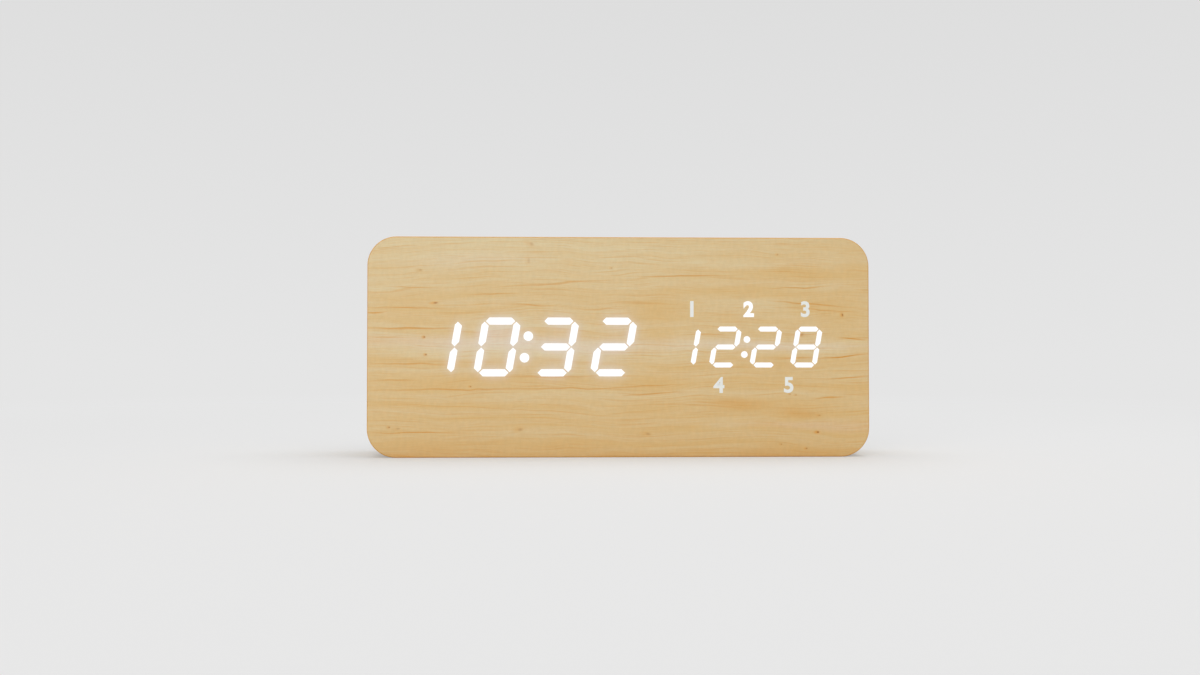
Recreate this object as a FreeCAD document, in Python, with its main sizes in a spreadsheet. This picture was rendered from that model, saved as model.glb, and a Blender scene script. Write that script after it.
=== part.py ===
"""Wooden desk clock with two lit times, built up from its separate pieces.

Millimetres. +Z is up, the display faces -Y, and the origin is at the middle
of the base. The driving sizes are in the spreadsheet, and the places that
follow from them are in the variable set named layout.
"""
import FreeCAD, Part
import math
import os

import Sketcher

doc = FreeCAD.newDocument("prayer_time_clock")

# ---------------------------------------------------------------- sizes

SIZES = {
    # case
    "case_depth": 40.0,
    "corner_radius": 12.0,
    "veneer_thickness": 0.8,
    "veneer_edge_round": 0.5,
    "wrap_thickness": 0.4,
    "case_wall": 7.0,
    "front_board": 4.0,
    "cavity_radius": 3.0,
    "window_radius": 2.0,
    "side_border": 13.0,
    "top_border": 20.0,
    "fit_gap": 0.3,
    "thread_gap": 0.05,
    # display digits
    "main_row": 10.77,
    "main_bar": 6.6,
    "main_stroke": 3.0,
    "segment_gap": 0.5,
    "bar_lean": 10.0,
    "row_lean": 7.4,
    "main_pitch": 24.3,
    "small_ratio": 0.7,
    "small_pitch": 17.05,
    "group_gap": 12.75,
    "colon_row": 4.5,
    "colon_dot": 4.0,
    "label_row": 15.9,
    "label_tall": 7.6,
    "label_wide": 11.0,
    "label_pitch_top": 23.9,
    "label_pitch_low": 29.4,
    "label_shift_top": 1.3,
    "label_shift_low": 3.4,
    "window_border_x": 6.6,
    "window_border_z": 6.3,
    "film_thickness": 0.3,
    "mask_depth": 7.0,
    "flange_x": 5.0,
    "flange_z": 3.0,
    # circuit boards and what is on them
    "board_thickness": 1.6,
    "led_length": 1.6,
    "led_width": 0.8,
    "led_tall": 0.6,
    "chip_tall": 1.8,
    "leg_width": 0.4,
    "leg_reach": 1.0,
    "leg_thickness": 0.2,
    "leg_pitch": 1.27,
    "driver_length": 18.0,
    "driver_width": 7.5,
    "processor_length": 12.8,
    "processor_width": 7.5,
    "voice_chip_length": 5.2,
    "voice_chip_width": 4.0,
    "header_length": 20.4,
    "header_width": 2.5,
    "header_tall": 2.5,
    "pin_side": 0.64,
    "pin_pitch": 2.54,
    "pin_end_gap": 2.0,
    "crystal_diameter": 2.0,
    "crystal_length": 6.0,
    "capacitor_diameter": 6.3,
    "capacitor_tall": 7.0,
    "processor_shift": 8.0,
    "voice_chip_shift": 10.0,
    "crystal_shift": 20.0,
    # rear cover
    "cover_recess": 1.5,
    "cover_thickness": 2.5,
    "rim_width": 3.4,
    "cover_edge_round": 0.5,
    "board_standoff": 8.0,
    "standoff_diameter": 6.0,
    # screws
    "screw_diameter": 2.6,
    "screw_head": 4.6,
    "screw_head_tall": 1.3,
    "washer_head": 7.0,
    "column_wall": 0.75,
    "screw_bite": 3.0,
    "cover_screw_length": 12.0,
    "board_screw_length": 7.0,
    "cross_width": 0.7,
    "cross_length": 2.6,
    "cross_depth": 0.7,
    # buttons and switches
    "button_diameter": 7.0,
    "button_proud": 1.2,
    "button_flange": 1.0,
    "button_flange_tall": 1.2,
    "button_round": 0.6,
    "button_travel": 0.5,
    "button_pitch": 12.0,
    "button_row": 22.0,
    "button_gap": 0.25,
    "tact_side": 6.0,
    "tact_tall": 3.5,
    "stem_diameter": 3.4,
    "stem_tall": 1.5,
    "stem_inside": 1.0,
    "slider_travel": 3.0,
    "slider_length": 3.0,
    "slider_width": 2.4,
    "slider_body_length": 11.0,
    "slider_body_width": 5.4,
    "slider_body_tall": 5.0,
    "slider_foot": 1.4,
    "slider_foot_tall": 1.2,
    "slider_lid": 0.6,
    "slider_proud": 0.9,
    "lower_row": 20.0,
    "lower_spread": 13.0,
    # power socket
    "socket_width": 8.94,
    "socket_height": 3.26,
    "socket_shell": 0.3,
    "socket_radius": 1.5,
    "tongue_setback": 0.8,
    "socket_depth": 7.0,
    "socket_setback": 1.7,
    "tongue_width": 6.69,
    "tongue_height": 0.7,
    "plug_width": 13.0,
    "plug_height": 7.2,
    "plug_radius": 2.4,
    # speaker
    "speaker_diameter": 40.0,
    "speaker_margin": 13.0,
    "gasket_thickness": 1.0,
    "speaker_flange": 1.0,
    "basket_depth": 8.0,
    "basket_wall": 1.0,
    "basket_back": 22.0,
    "magnet_diameter": 24.0,
    "magnet_thickness": 4.0,
    "cone_mouth": 33.0,
    "cone_throat": 10.0,
    "cone_depth": 6.0,
    "cone_paper": 0.4,
    "grille_hole": 2.4,
    "grille_ring": 5.0,
    "grille_cloth": 0.2,
    # battery bay
    "cell_diameter": 10.4,
    "cell_length": 43.3,
    "cell_nub": 3.8,
    "cell_nub_tall": 1.0,
    "cell_gap": 0.3,
    "contact_room": 3.0,
    "contact_thickness": 0.4,
    "contact_width": 7.0,
    "bay_wall": 1.5,
    "bay_margin": 15.0,
    "door_overlap": 1.2,
    "door_plate": 1.3,
    "door_travel": 9.0,
    "door_play": 0.1,
    "tongue_reach": 1.2,
    "tongue_length": 7.0,
    "tongue_inset": 6.0,
    "grip_rib": 0.8,
    "grip_rib_tall": 0.4,
    "grip_pitch": 2.2,
    # leads
    "lead_diameter": 1.2,
    "lead_plug_width": 6.0,
    "lead_plug_depth": 4.5,
    "lead_plug_tall": 5.0,
    "lead_pitch": 2.54,
    "lead_drop": 1.5,
    "terminal_wide": 1.6,
    "terminal_tall": 8.0,
    "terminal_deep": 3.0,
}

# Fixed counts of a digit display and its parts.
DIGITS = 4
LABELS_TOP = 3
LABELS_LOW = 2
CELLS = 3
BUTTONS = ("set", "up", "down", "mute")
GRILLE_RINGS = (6, 12, 18)
GRIP_RIBS = 5
HEADER_PINS = 8
SPEAKER_SCREWS = 3
DRIVER_LEGS = 14
PROCESSOR_LEGS = 10
VOICE_LEGS = 4

sheet = doc.addObject("Spreadsheet::Sheet", "sizes")
for row, (name, size) in enumerate(SIZES.items(), start=1):
    sheet.set("A%d" % row, str(size))
    sheet.setAlias("A%d" % row, name)
doc.recompute()

layout = doc.addObject("App::VarSet", "layout")


def place(name, expression):
    """Add a named place or derived size to the layout."""
    layout.addProperty("App::PropertyFloat", name)
    layout.setExpression(name, expression)
    doc.recompute()


def value(expression):
    """The number that an expression in sizes and layout gives."""
    return float(layout.evalExpression(expression))


# ---------------------------------------------------------------- layout

# The digits set the window, and the window and its borders set the case.
place("lean", "tan(sizes.bar_lean)")
place("row_shift", "tan(sizes.row_lean)")
place("digit_half", "sizes.main_bar + sizes.main_stroke / 2 + sizes.main_row * layout.lean")
place("main_span", "sizes.main_pitch * %d + 2 * layout.digit_half" % (DIGITS - 1))
place("small_span",
      "sizes.small_pitch * %d + 2 * layout.digit_half * sizes.small_ratio" % (DIGITS - 1))
place("content_wide", "layout.main_span + sizes.group_gap + layout.small_span")
place("main_x", "(layout.main_span - layout.content_wide) / 2")
place("small_x", "(layout.content_wide - layout.small_span) / 2")
place("content_tall", "2 * max(sizes.label_row + sizes.label_tall / 2;"
      " sizes.main_row + sizes.main_stroke / 2)")
place("window_wide", "layout.content_wide + 2 * sizes.window_border_x")
place("window_tall", "layout.content_tall + 2 * sizes.window_border_z")
place("case_wide", "layout.window_wide + 2 * sizes.side_border")
place("case_tall", "layout.window_tall + 2 * sizes.top_border")
place("mid_z", "layout.case_tall / 2")
place("core_wide", "layout.case_wide - 2 * sizes.wrap_thickness")
place("core_tall", "layout.case_tall - 2 * sizes.wrap_thickness")
place("cavity_wide", "layout.case_wide - 2 * sizes.case_wall")
place("cavity_tall", "layout.case_tall - 2 * sizes.case_wall")
place("flange_wide", "layout.window_wide + 2 * sizes.flange_x")
place("flange_tall", "layout.window_tall + 2 * sizes.flange_z")
place("display_screw_x", "(layout.window_wide + sizes.flange_x) / 2")
place("display_screw_z", "(layout.window_tall - sizes.screw_head) / 2")
place("post", "(layout.cavity_tall - layout.flange_tall) / 2 - sizes.fit_gap")
place("post_x", "(layout.cavity_wide - layout.post) / 2")
place("post_z", "(layout.cavity_tall - layout.post) / 2")

# Depths, from the display at -Y to the open back at +Y.
place("front_y", "-sizes.case_depth / 2")
place("veneer_y", "layout.front_y + sizes.veneer_thickness")
place("film_y", "layout.veneer_y + sizes.film_thickness")
place("panel_y", "layout.veneer_y + sizes.front_board")
place("mask_y", "layout.film_y + sizes.mask_depth")
place("display_y", "layout.mask_y + sizes.board_thickness")
place("back_y", "sizes.case_depth / 2")
place("cover_y", "layout.back_y - sizes.cover_recess")
place("inner_y", "layout.cover_y - sizes.cover_thickness")
place("board_back_y", "layout.inner_y - sizes.board_standoff")
place("board_front_y", "layout.board_back_y - sizes.board_thickness")
place("cover_wide", "layout.case_wide - 2 * sizes.rim_width")
place("cover_tall", "layout.case_tall - 2 * sizes.rim_width")

# Rear cover: speaker at -X, battery bay at +X, control board between them.
place("bay_wide", "sizes.cell_length + sizes.cell_nub_tall + 2 * sizes.contact_room")
place("bay_tall", "%d * (sizes.cell_diameter + sizes.cell_gap) + sizes.cell_gap" % CELLS)
place("bay_x", "layout.cavity_wide / 2 - sizes.bay_margin - layout.bay_wide / 2")
place("cell_y", "layout.inner_y - sizes.cell_gap - sizes.cell_diameter / 2")
place("cell_z", "sizes.cell_diameter + sizes.cell_gap")
place("bay_floor_y", "layout.cell_y - sizes.cell_diameter / 2 - sizes.thread_gap")
place("door_wide", "layout.bay_wide + 2 * sizes.door_overlap")
place("door_tall", "layout.bay_tall + 2 * sizes.door_overlap")
place("door_y", "layout.cover_y - sizes.door_plate")
place("track_wide", "layout.door_wide + sizes.door_travel + 2 * sizes.fit_gap")
place("track_x", "layout.bay_x + sizes.door_travel / 2")
place("track_tall", "layout.door_tall + 2 * (sizes.tongue_reach + sizes.fit_gap)")
place("tongue_x", "layout.door_wide / 2 - sizes.tongue_inset - sizes.tongue_length / 2")
place("tongue_thick", "layout.door_y - layout.inner_y - sizes.door_play")
place("speaker_x", "sizes.speaker_margin + sizes.speaker_diameter / 2 - layout.cavity_wide / 2")
place("speaker_right", "layout.speaker_x + sizes.speaker_diameter / 2 + sizes.standoff_diameter")
place("bay_left", "layout.bay_x - layout.bay_wide / 2 - sizes.bay_wall - sizes.door_overlap"
      " - sizes.fit_gap")
place("board_wide", "layout.bay_left - layout.speaker_right - 2 * sizes.fit_gap")
place("board_x", "(layout.bay_left + layout.speaker_right) / 2")
place("board_tall", "2 * (sizes.button_row + sizes.tact_side)")
place("standoff_x", "layout.board_wide / 2 - sizes.standoff_diameter / 2")
place("standoff_z", "(layout.board_tall - sizes.standoff_diameter) / 2")
place("header_z", "layout.board_tall / 2 - 1.5 * sizes.header_width")
place("socket_tall", "(layout.board_front_y - layout.display_y) / 2")
place("socket_mouth_y", "layout.board_front_y - layout.socket_tall")
place("gasket_y", "layout.inner_y - sizes.gasket_thickness")
place("basket_y", "layout.gasket_y - sizes.speaker_flange")
place("throat_y", "layout.basket_y - sizes.basket_depth")
place("speaker_column", "sizes.screw_diameter + 2 * sizes.column_wall")
place("speaker_screw_r", "(sizes.speaker_diameter + layout.speaker_column) / 2 + sizes.fit_gap")
place("speaker_screw_length", "layout.inner_y - layout.basket_y + sizes.cover_thickness / 2")
place("lead_y", "layout.board_back_y + sizes.lead_plug_tall - sizes.lead_drop")
place("plug_edge_x", "(layout.board_wide - sizes.lead_plug_depth) / 2")

# Buttons: switch body on the board, stem in the switch, cap on the stem.
place("tact_y", "layout.board_back_y + sizes.tact_tall")
place("stem_y", "layout.tact_y + sizes.stem_tall")
place("button_y", "layout.cover_y + sizes.button_proud")
place("button_flange_y", "layout.inner_y - sizes.fit_gap")
place("buttons_x", "-sizes.button_pitch * %d / 2" % (len(BUTTONS) - 1))
place("slider_x", "layout.board_x - sizes.lower_spread")
place("slider_y", "layout.board_back_y + sizes.slider_body_tall")
place("power_x", "layout.board_x + sizes.lower_spread")
place("power_y", "layout.cover_y - sizes.socket_setback")

# Screw patterns, as steps from the first screw at -X and -Z.
DISPLAY_SCREWS = (("X_Axis", "2 * layout.display_screw_x", 2),
                  ("Z_Axis", "layout.display_screw_z", 3))
COVER_SCREWS = (("X_Axis", "2 * layout.post_x", 2), ("Z_Axis", "2 * layout.post_z", 2))
BOARD_SCREWS = (("X_Axis", "2 * layout.standoff_x", 2), ("Z_Axis", "2 * layout.standoff_z", 2))

# Each group of digits: its name in the layout, its scale and its pitch.
DIGIT_GROUPS = (("main", "1", "sizes.main_pitch"),
                ("small", "sizes.small_ratio", "sizes.small_pitch"))
# Each row of labels: above or below the small digits, its shift, pitch and count.
LABEL_ROWS = ((1, "sizes.label_shift_top", "sizes.label_pitch_top", LABELS_TOP),
              (-1, "sizes.label_shift_low", "sizes.label_pitch_low", LABELS_LOW))


# ---------------------------------------------------------------- drawing tools

def body(name, x="0", z="0"):
    """A body whose own origin stands at x, z, with depths measured in Y."""
    piece = doc.addObject("PartDesign::Body", name)
    piece.AllowCompound = True
    piece.setExpression("Placement.Base.x", x)
    piece.setExpression("Placement.Base.z", z)
    return piece


def datum(piece, role):
    """An origin plane or axis of the body."""
    return [item for item in piece.Origin.OriginFeatures if item.Role == role][0]


def sketch(piece, plane="XZ_Plane", y="0", x="0", z="0"):
    """A sketch that faces the display, at depth y and centred on x, z."""
    drawing = piece.newObject("Sketcher::SketchObject", piece.Name + "_sketch")
    drawing.AttachmentSupport = [(datum(piece, plane), "")]
    drawing.MapMode = "FlatFace"
    drawing.setExpression("AttachmentOffset.Base.x", x)
    drawing.setExpression("AttachmentOffset.Base.y", z)
    drawing.setExpression("AttachmentOffset.Base.z", "-(%s)" % y)
    return drawing


def end_sketch(piece, x, y, z):
    """A sketch that faces along X, at x and centred on y, z."""
    drawing = piece.newObject("Sketcher::SketchObject", piece.Name + "_sketch")
    drawing.AttachmentSupport = [(datum(piece, "YZ_Plane"), "")]
    drawing.MapMode = "FlatFace"
    drawing.setExpression("AttachmentOffset.Base.x", y)
    drawing.setExpression("AttachmentOffset.Base.y", z)
    drawing.setExpression("AttachmentOffset.Base.z", x)
    return drawing


def constrain(drawing, expression, kind, *where):
    """A driving constraint that follows an expression."""
    index = drawing.addConstraint(Sketcher.Constraint(kind, *where, value(expression)))
    drawing.setExpression("Constraints[%d]" % index, expression)


def outline(drawing, points):
    """A closed line through points, each an x and a y expression."""
    first = drawing.GeometryCount
    corners = [FreeCAD.Vector(value(x), value(y), 0) for x, y in points]
    ends = corners[1:] + corners[:1]
    drawing.addGeometry([Part.LineSegment(a, b) for a, b in zip(corners, ends)], False)
    for i, (x, y) in enumerate(points):
        following = first + (i + 1) % len(points)
        drawing.addConstraint(Sketcher.Constraint("Coincident", first + i, 2, following, 1))
        constrain(drawing, x, "DistanceX", -1, 1, first + i, 1)
        constrain(drawing, y, "DistanceY", -1, 1, first + i, 1)


def rectangle(drawing, wide, tall, x="0", y="0"):
    """A rectangle of wide by tall centred on x, y."""
    left, right = "%s - (%s) / 2" % (x, wide), "%s + (%s) / 2" % (x, wide)
    low, high = "%s - (%s) / 2" % (y, tall), "%s + (%s) / 2" % (y, tall)
    outline(drawing, [(left, low), (right, low), (right, high), (left, high)])


def rounded(drawing, wide, tall, radius):
    """A rectangle with round corners, centred on the sketch's origin."""
    first = drawing.GeometryCount
    w, d, r = value(wide) / 2, value(tall) / 2, value(radius)
    vector, turn = FreeCAD.Vector, math.pi / 2
    corners = [(w - r, r - d, -turn), (w - r, d - r, 0), (r - w, d - r, turn), (r - w, r - d, 2 * turn)]
    sides = [((r - w, -d), (w - r, -d)), ((w, r - d), (w, d - r)),
             ((w - r, d), (r - w, d)), ((-w, d - r), (-w, r - d))]
    for (a, b), (x, y, start) in zip(sides, corners):
        drawing.addGeometry(Part.LineSegment(vector(*a, 0), vector(*b, 0)), False)
        circle = Part.Circle(vector(x, y, 0), vector(0, 0, 1), r)
        drawing.addGeometry(Part.ArcOfCircle(circle, start, start + turn), False)
    for i in range(4):
        side, corner, following = first + 2 * i, first + 2 * i + 1, first + (2 * i + 2) % 8
        drawing.addConstraint(Sketcher.Constraint("Tangent", side, 2, corner, 1))
        drawing.addConstraint(Sketcher.Constraint("Tangent", corner, 2, following, 1))
        if i:
            drawing.addConstraint(Sketcher.Constraint("Equal", first + 1, corner))
    for side in (first, first + 4):
        drawing.addConstraint(Sketcher.Constraint("Horizontal", side))
        drawing.addConstraint(Sketcher.Constraint("Vertical", side + 2))
    drawing.addConstraint(Sketcher.Constraint("Symmetric", first + 1, 3, first + 5, 3, -1, 1))
    constrain(drawing, radius, "Radius", first + 1)
    constrain(drawing, "(%s) / 2 - (%s)" % (wide, radius), "DistanceX", -1, 1, first + 3, 3)
    constrain(drawing, "(%s) / 2 - (%s)" % (tall, radius), "DistanceY", -1, 1, first + 3, 3)


def circle(drawing, diameter, x="0", y="0"):
    """A circle about x, y."""
    index = drawing.addGeometry(
        Part.Circle(FreeCAD.Vector(value(x), value(y), 0), FreeCAD.Vector(0, 0, 1),
                    value(diameter) / 2), False)
    constrain(drawing, diameter, "Diameter", index)
    constrain(drawing, x, "DistanceX", -1, 1, index, 3)
    constrain(drawing, y, "DistanceY", -1, 1, index, 3)


def feature(kind, piece, drawing, length, reverse):
    """A Pad or Pocket of the drawing."""
    made = piece.newObject("PartDesign::" + kind, piece.Name + "_" + kind.lower())
    made.Profile = drawing
    made.setExpression("Length", length)
    made.Reversed = reverse
    return made


def pad(piece, drawing, length, back=True):
    """Add material from the drawing towards the back, or towards the display."""
    return feature("Pad", piece, drawing, length, back)


def pocket(piece, drawing, length, back=True):
    """Cut from the drawing towards the back, or towards the display."""
    return feature("Pocket", piece, drawing, length, not back)


def turned(piece, drawing):
    """Turn the drawing round the body's own Y axis."""
    made = piece.newObject("PartDesign::Revolution", piece.Name + "_turned")
    made.Profile = drawing
    made.ReferenceAxis = (datum(piece, "Y_Axis"), [""])
    made.Angle = 360
    return made


def repeat(piece, features, *steps):
    """Repeat features along axes; each step is an axis, a distance and a count."""
    patterns = []
    for axis, distance, count in steps:
        line = doc.addObject("PartDesign::LinearPattern", piece.Name + "_row")
        line.Direction = (datum(piece, axis), [""])
        line.setExpression("Length", "(%s) * %d" % (distance, count - 1))
        line.Occurrences = count
        patterns.append(line)
    grid = piece.newObject("PartDesign::MultiTransform", piece.Name + "_grid")
    grid.Originals = features
    grid.Transformations = patterns
    piece.Tip = grid
    return grid


def around(piece, original, drawing, count):
    """Repeat a feature around the centre of the drawing."""
    ring = piece.newObject("PartDesign::PolarPattern", piece.Name + "_ring")
    ring.Originals = [original]
    ring.Axis = (drawing, ["N_Axis"])
    ring.Angle = 360
    ring.Occurrences = count
    piece.Tip = ring
    return ring


def round_edges(piece, base, radius, y):
    """Round the edges of the face of base that lies at depth y."""
    doc.recompute()
    names = []
    for number, edge in enumerate(base.Shape.Edges, start=1):
        box = edge.BoundBox
        if abs(box.YMin - value(y)) < 0.001 and abs(box.YMax - value(y)) < 0.001:
            names.append("Edge%d" % number)
    made = piece.newObject("PartDesign::Fillet", piece.Name + "_round")
    made.Base = (base, names)
    made.setExpression("Radius", radius)
    return made


# ---------------------------------------------------------------- wooden case

def front_veneer():
    """Thin wood leaf over the whole front; the digits shine through it."""
    piece = body("front_veneer", z="layout.mid_z")
    face = sketch(piece, y="layout.front_y")
    rounded(face, "layout.case_wide", "layout.case_tall", "sizes.corner_radius")
    leaf = pad(piece, face, "sizes.veneer_thickness")
    round_edges(piece, leaf, "sizes.veneer_edge_round", "layout.front_y")


def side_wrap():
    """Thin wood leaf round the four sides of the case."""
    piece = body("side_wrap", z="layout.mid_z")
    ring = sketch(piece, y="layout.veneer_y")
    rounded(ring, "layout.case_wide", "layout.case_tall", "sizes.corner_radius")
    rounded(ring, "layout.core_wide", "layout.core_tall",
            "sizes.corner_radius - sizes.wrap_thickness")
    pad(piece, ring, "layout.back_y - layout.veneer_y")


def case_core():
    """Fibreboard case: four walls, a front board with a window, screw posts."""
    piece = body("case_core", z="layout.mid_z")
    block = sketch(piece, y="layout.veneer_y")
    rounded(block, "layout.core_wide", "layout.core_tall",
            "sizes.corner_radius - sizes.wrap_thickness")
    pad(piece, block, "layout.back_y - layout.veneer_y")
    cavity = sketch(piece, y="layout.panel_y")
    rounded(cavity, "layout.cavity_wide", "layout.cavity_tall", "sizes.cavity_radius")
    pocket(piece, cavity, "layout.back_y - layout.panel_y")
    rebate = sketch(piece, y="layout.inner_y")
    rounded(rebate, "layout.cover_wide + 2 * sizes.fit_gap",
            "layout.cover_tall + 2 * sizes.fit_gap",
            "sizes.corner_radius - sizes.rim_width + sizes.fit_gap")
    pocket(piece, rebate, "layout.back_y - layout.inner_y")
    window = sketch(piece, y="layout.veneer_y")
    rounded(window, "layout.window_wide", "layout.window_tall", "sizes.window_radius")
    pocket(piece, window, "sizes.front_board")
    post = sketch(piece, y="layout.panel_y", x="-layout.post_x", z="-layout.post_z")
    rectangle(post, "layout.post", "layout.post")
    posts = pad(piece, post, "layout.inner_y - layout.panel_y")
    repeat(piece, [posts], *COVER_SCREWS)
    pilot = sketch(piece, y="layout.inner_y", x="-layout.post_x", z="-layout.post_z")
    circle(pilot, "sizes.screw_diameter + 2 * sizes.thread_gap")
    pilots = pocket(piece, pilot, "sizes.cover_screw_length", back=False)
    repeat(piece, [pilots], *COVER_SCREWS)
    hole = sketch(piece, y="layout.panel_y", x="-layout.display_screw_x",
                  z="-layout.display_screw_z")
    circle(hole, "sizes.screw_diameter + 2 * sizes.thread_gap")
    holes = pocket(piece, hole, "sizes.screw_bite", back=False)
    repeat(piece, [holes], *DISPLAY_SCREWS)


# ---------------------------------------------------------------- display

def segments(drawing, size):
    """The seven segments of a digit, centred on the drawing's origin."""
    row, tip = "sizes.main_row * %s" % size, "(sizes.main_bar - sizes.segment_gap) * %s" % size
    half, gap = "sizes.main_stroke / 2 * %s" % size, "sizes.segment_gap * %s" % size
    bar = "sizes.main_bar * %s" % size
    inner_edge, outer_edge = "(%s - %s)" % (bar, half), "(%s + %s)" % (bar, half)
    for side in (-1, 0, 1):
        x, z = "layout.row_shift * %s * %d" % (row, side), "%s * %d" % (row, side)
        outline(drawing, [
            ("%s - %s" % (x, tip), z),
            ("%s - %s + %s" % (x, tip, half), "%s - %s" % (z, half)),
            ("%s + %s - %s" % (x, tip, half), "%s - %s" % (z, half)),
            ("%s + %s" % (x, tip), z),
            ("%s + %s - %s" % (x, tip, half), "%s + %s" % (z, half)),
            ("%s - %s + %s" % (x, tip, half), "%s + %s" % (z, half))])
    for across in (-1, 1):
        for up in (-1, 1):
            inner, outer = "%s * %d" % (inner_edge, across), "%s * %d" % (outer_edge, across)
            near = ("%s * %d" % (bar, across), "%s / 2 * %d" % (gap, up))
            far = ("layout.row_shift * %s * %d + %s * %d" % (row, up, bar, across),
                   "(%s - %s / 2) * %d" % (row, gap, up))
            outline(drawing, leaning_bar(inner, outer, near, far, up * across))


def leaning_bar(inner, outer, near, far, turn):
    """The six corners of a bar that leans, with both ends cut at 45 degrees."""
    def corner(edge, tip, slope):
        # The cut runs through the tip and meets the edge, x = edge + lean * z.
        z = "((%s) + ((%s) - (%s)) * %d) / (1 - layout.lean * %d)" % (
            tip[1], edge, tip[0], slope, slope)
        return "(%s) + layout.lean * %s" % (edge, z), z
    return [near, corner(outer, near, turn), corner(outer, far, -turn),
            far, corner(inner, far, turn), corner(inner, near, -turn)]


def display_screw_holes(piece, y, depth):
    """Clearance holes for the six screws at the sides of the window."""
    hole = sketch(piece, y=y, x="-layout.display_screw_x", z="-layout.display_screw_z")
    circle(hole, "sizes.screw_diameter + 2 * sizes.fit_gap")
    holes = pocket(piece, hole, depth)
    repeat(piece, [holes], *DISPLAY_SCREWS)


def diffuser_film():
    """Milky film between the veneer and the light mask."""
    piece = body("diffuser_film", z="layout.mid_z")
    face = sketch(piece, y="layout.veneer_y")
    rounded(face, "layout.window_wide - 2 * sizes.fit_gap",
            "layout.window_tall - 2 * sizes.fit_gap", "sizes.window_radius")
    pad(piece, face, "sizes.film_thickness")


def light_mask():
    """Black block with one light well for each segment, dot and label."""
    piece = body("light_mask", z="layout.mid_z")
    nose = sketch(piece, y="layout.film_y")
    rounded(nose, "layout.window_wide - 2 * sizes.fit_gap",
            "layout.window_tall - 2 * sizes.fit_gap", "sizes.window_radius")
    pad(piece, nose, "sizes.mask_depth")
    flange = sketch(piece, y="layout.panel_y")
    rounded(flange, "layout.flange_wide", "layout.flange_tall", "sizes.window_radius")
    pad(piece, flange, "layout.mask_y - layout.panel_y")
    for group, size, pitch in DIGIT_GROUPS:
        wells = sketch(piece, y="layout.film_y",
                       x="layout.%s_x - %s * %d / 2" % (group, pitch, DIGITS - 1))
        segments(wells, size)
        cut = pocket(piece, wells, "sizes.mask_depth")
        repeat(piece, [cut], ("X_Axis", pitch, DIGITS))
        dots = sketch(piece, y="layout.film_y", x="layout.%s_x" % group)
        colon(dots, size)
        pocket(piece, dots, "sizes.mask_depth")
    for level, shift, pitch, count in LABEL_ROWS:
        label = sketch(piece, y="layout.film_y", z="sizes.label_row * %d" % level,
                       x="layout.small_x + %s - %s * %d / 2" % (shift, pitch, count - 1))
        rectangle(label, "sizes.label_wide", "sizes.label_tall")
        cut = pocket(piece, label, "sizes.mask_depth")
        repeat(piece, [cut], ("X_Axis", pitch, count))
    display_screw_holes(piece, "layout.panel_y", "layout.mask_y - layout.panel_y")


def colon(drawing, size):
    """Two round dots on the lean of the digits."""
    for side in (-1, 1):
        height = "sizes.colon_row * %s * %d" % (size, side)
        circle(drawing, "sizes.colon_dot * %s" % size, "layout.lean * %s" % height, height)


def display_board():
    """Circuit board that closes the back of the light wells."""
    piece = body("display_board", z="layout.mid_z")
    face = sketch(piece, y="layout.mask_y")
    rounded(face, "layout.flange_wide", "layout.flange_tall", "sizes.window_radius")
    pad(piece, face, "sizes.board_thickness")
    display_screw_holes(piece, "layout.mask_y", "sizes.board_thickness")


def display_leds():
    """Chip lamps on the display board, one or two to a well."""
    piece = body("display_leds", z="layout.mid_z")
    for group, size, pitch in DIGIT_GROUPS:
        lamps = sketch(piece, y="layout.mask_y",
                       x="layout.%s_x - %s * %d / 2" % (group, pitch, DIGITS - 1))
        row, bar = "sizes.main_row * %s" % size, "sizes.main_bar * %s" % size
        for side in (-1, 0, 1):
            for end in (-1, 1):
                rectangle(lamps, "sizes.led_length", "sizes.led_width",
                          "layout.row_shift * %s * %d + %s / 2 * %d" % (row, side, bar, end),
                          "%s * %d" % (row, side))
        for across in (-1, 1):
            for up in (-1, 1):
                rectangle(lamps, "sizes.led_width", "sizes.led_length",
                          "%s * %d + layout.lean * %s / 2 * %d" % (bar, across, row, up),
                          "%s / 2 * %d" % (row, up))
        lit = pad(piece, lamps, "sizes.led_tall", back=False)
        repeat(piece, [lit], ("X_Axis", pitch, DIGITS))
        dots = sketch(piece, y="layout.mask_y", x="layout.%s_x" % group)
        for side in (-1, 1):
            height = "sizes.colon_row * %s * %d" % (size, side)
            rectangle(dots, "sizes.led_length", "sizes.led_width",
                      "layout.lean * %s" % height, height)
        pad(piece, dots, "sizes.led_tall", back=False)
    for level, shift, pitch, count in LABEL_ROWS:
        lamp = sketch(piece, y="layout.mask_y", z="sizes.label_row * %d" % level,
                      x="layout.small_x + %s - %s * %d / 2" % (shift, pitch, count - 1))
        rectangle(lamp, "sizes.led_length", "sizes.led_width")
        lit = pad(piece, lamp, "sizes.led_tall", back=False)
        repeat(piece, [lit], ("X_Axis", pitch, count))


def chip(name, x, z, y, length, width, legs):
    """A flat chip on the back of a board, with a row of legs on each long side."""
    piece = body(name, x=x, z=z)
    case = sketch(piece, y=y + " + sizes.leg_thickness")
    rectangle(case, length, width)
    pad(piece, case, "sizes.chip_tall")
    leg = sketch(piece, y=y, x="-sizes.leg_pitch * %d / 2" % (legs - 1),
                 z="-((%s) / 2 + sizes.leg_reach / 2 - sizes.leg_thickness)" % width)
    rectangle(leg, "sizes.leg_width", "sizes.leg_reach")
    foot = pad(piece, leg, "sizes.chip_tall / 2")
    repeat(piece, [foot], ("X_Axis", "sizes.leg_pitch", legs),
           ("Z_Axis", "%s + sizes.leg_reach - 2 * sizes.leg_thickness" % width, 2))


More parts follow.
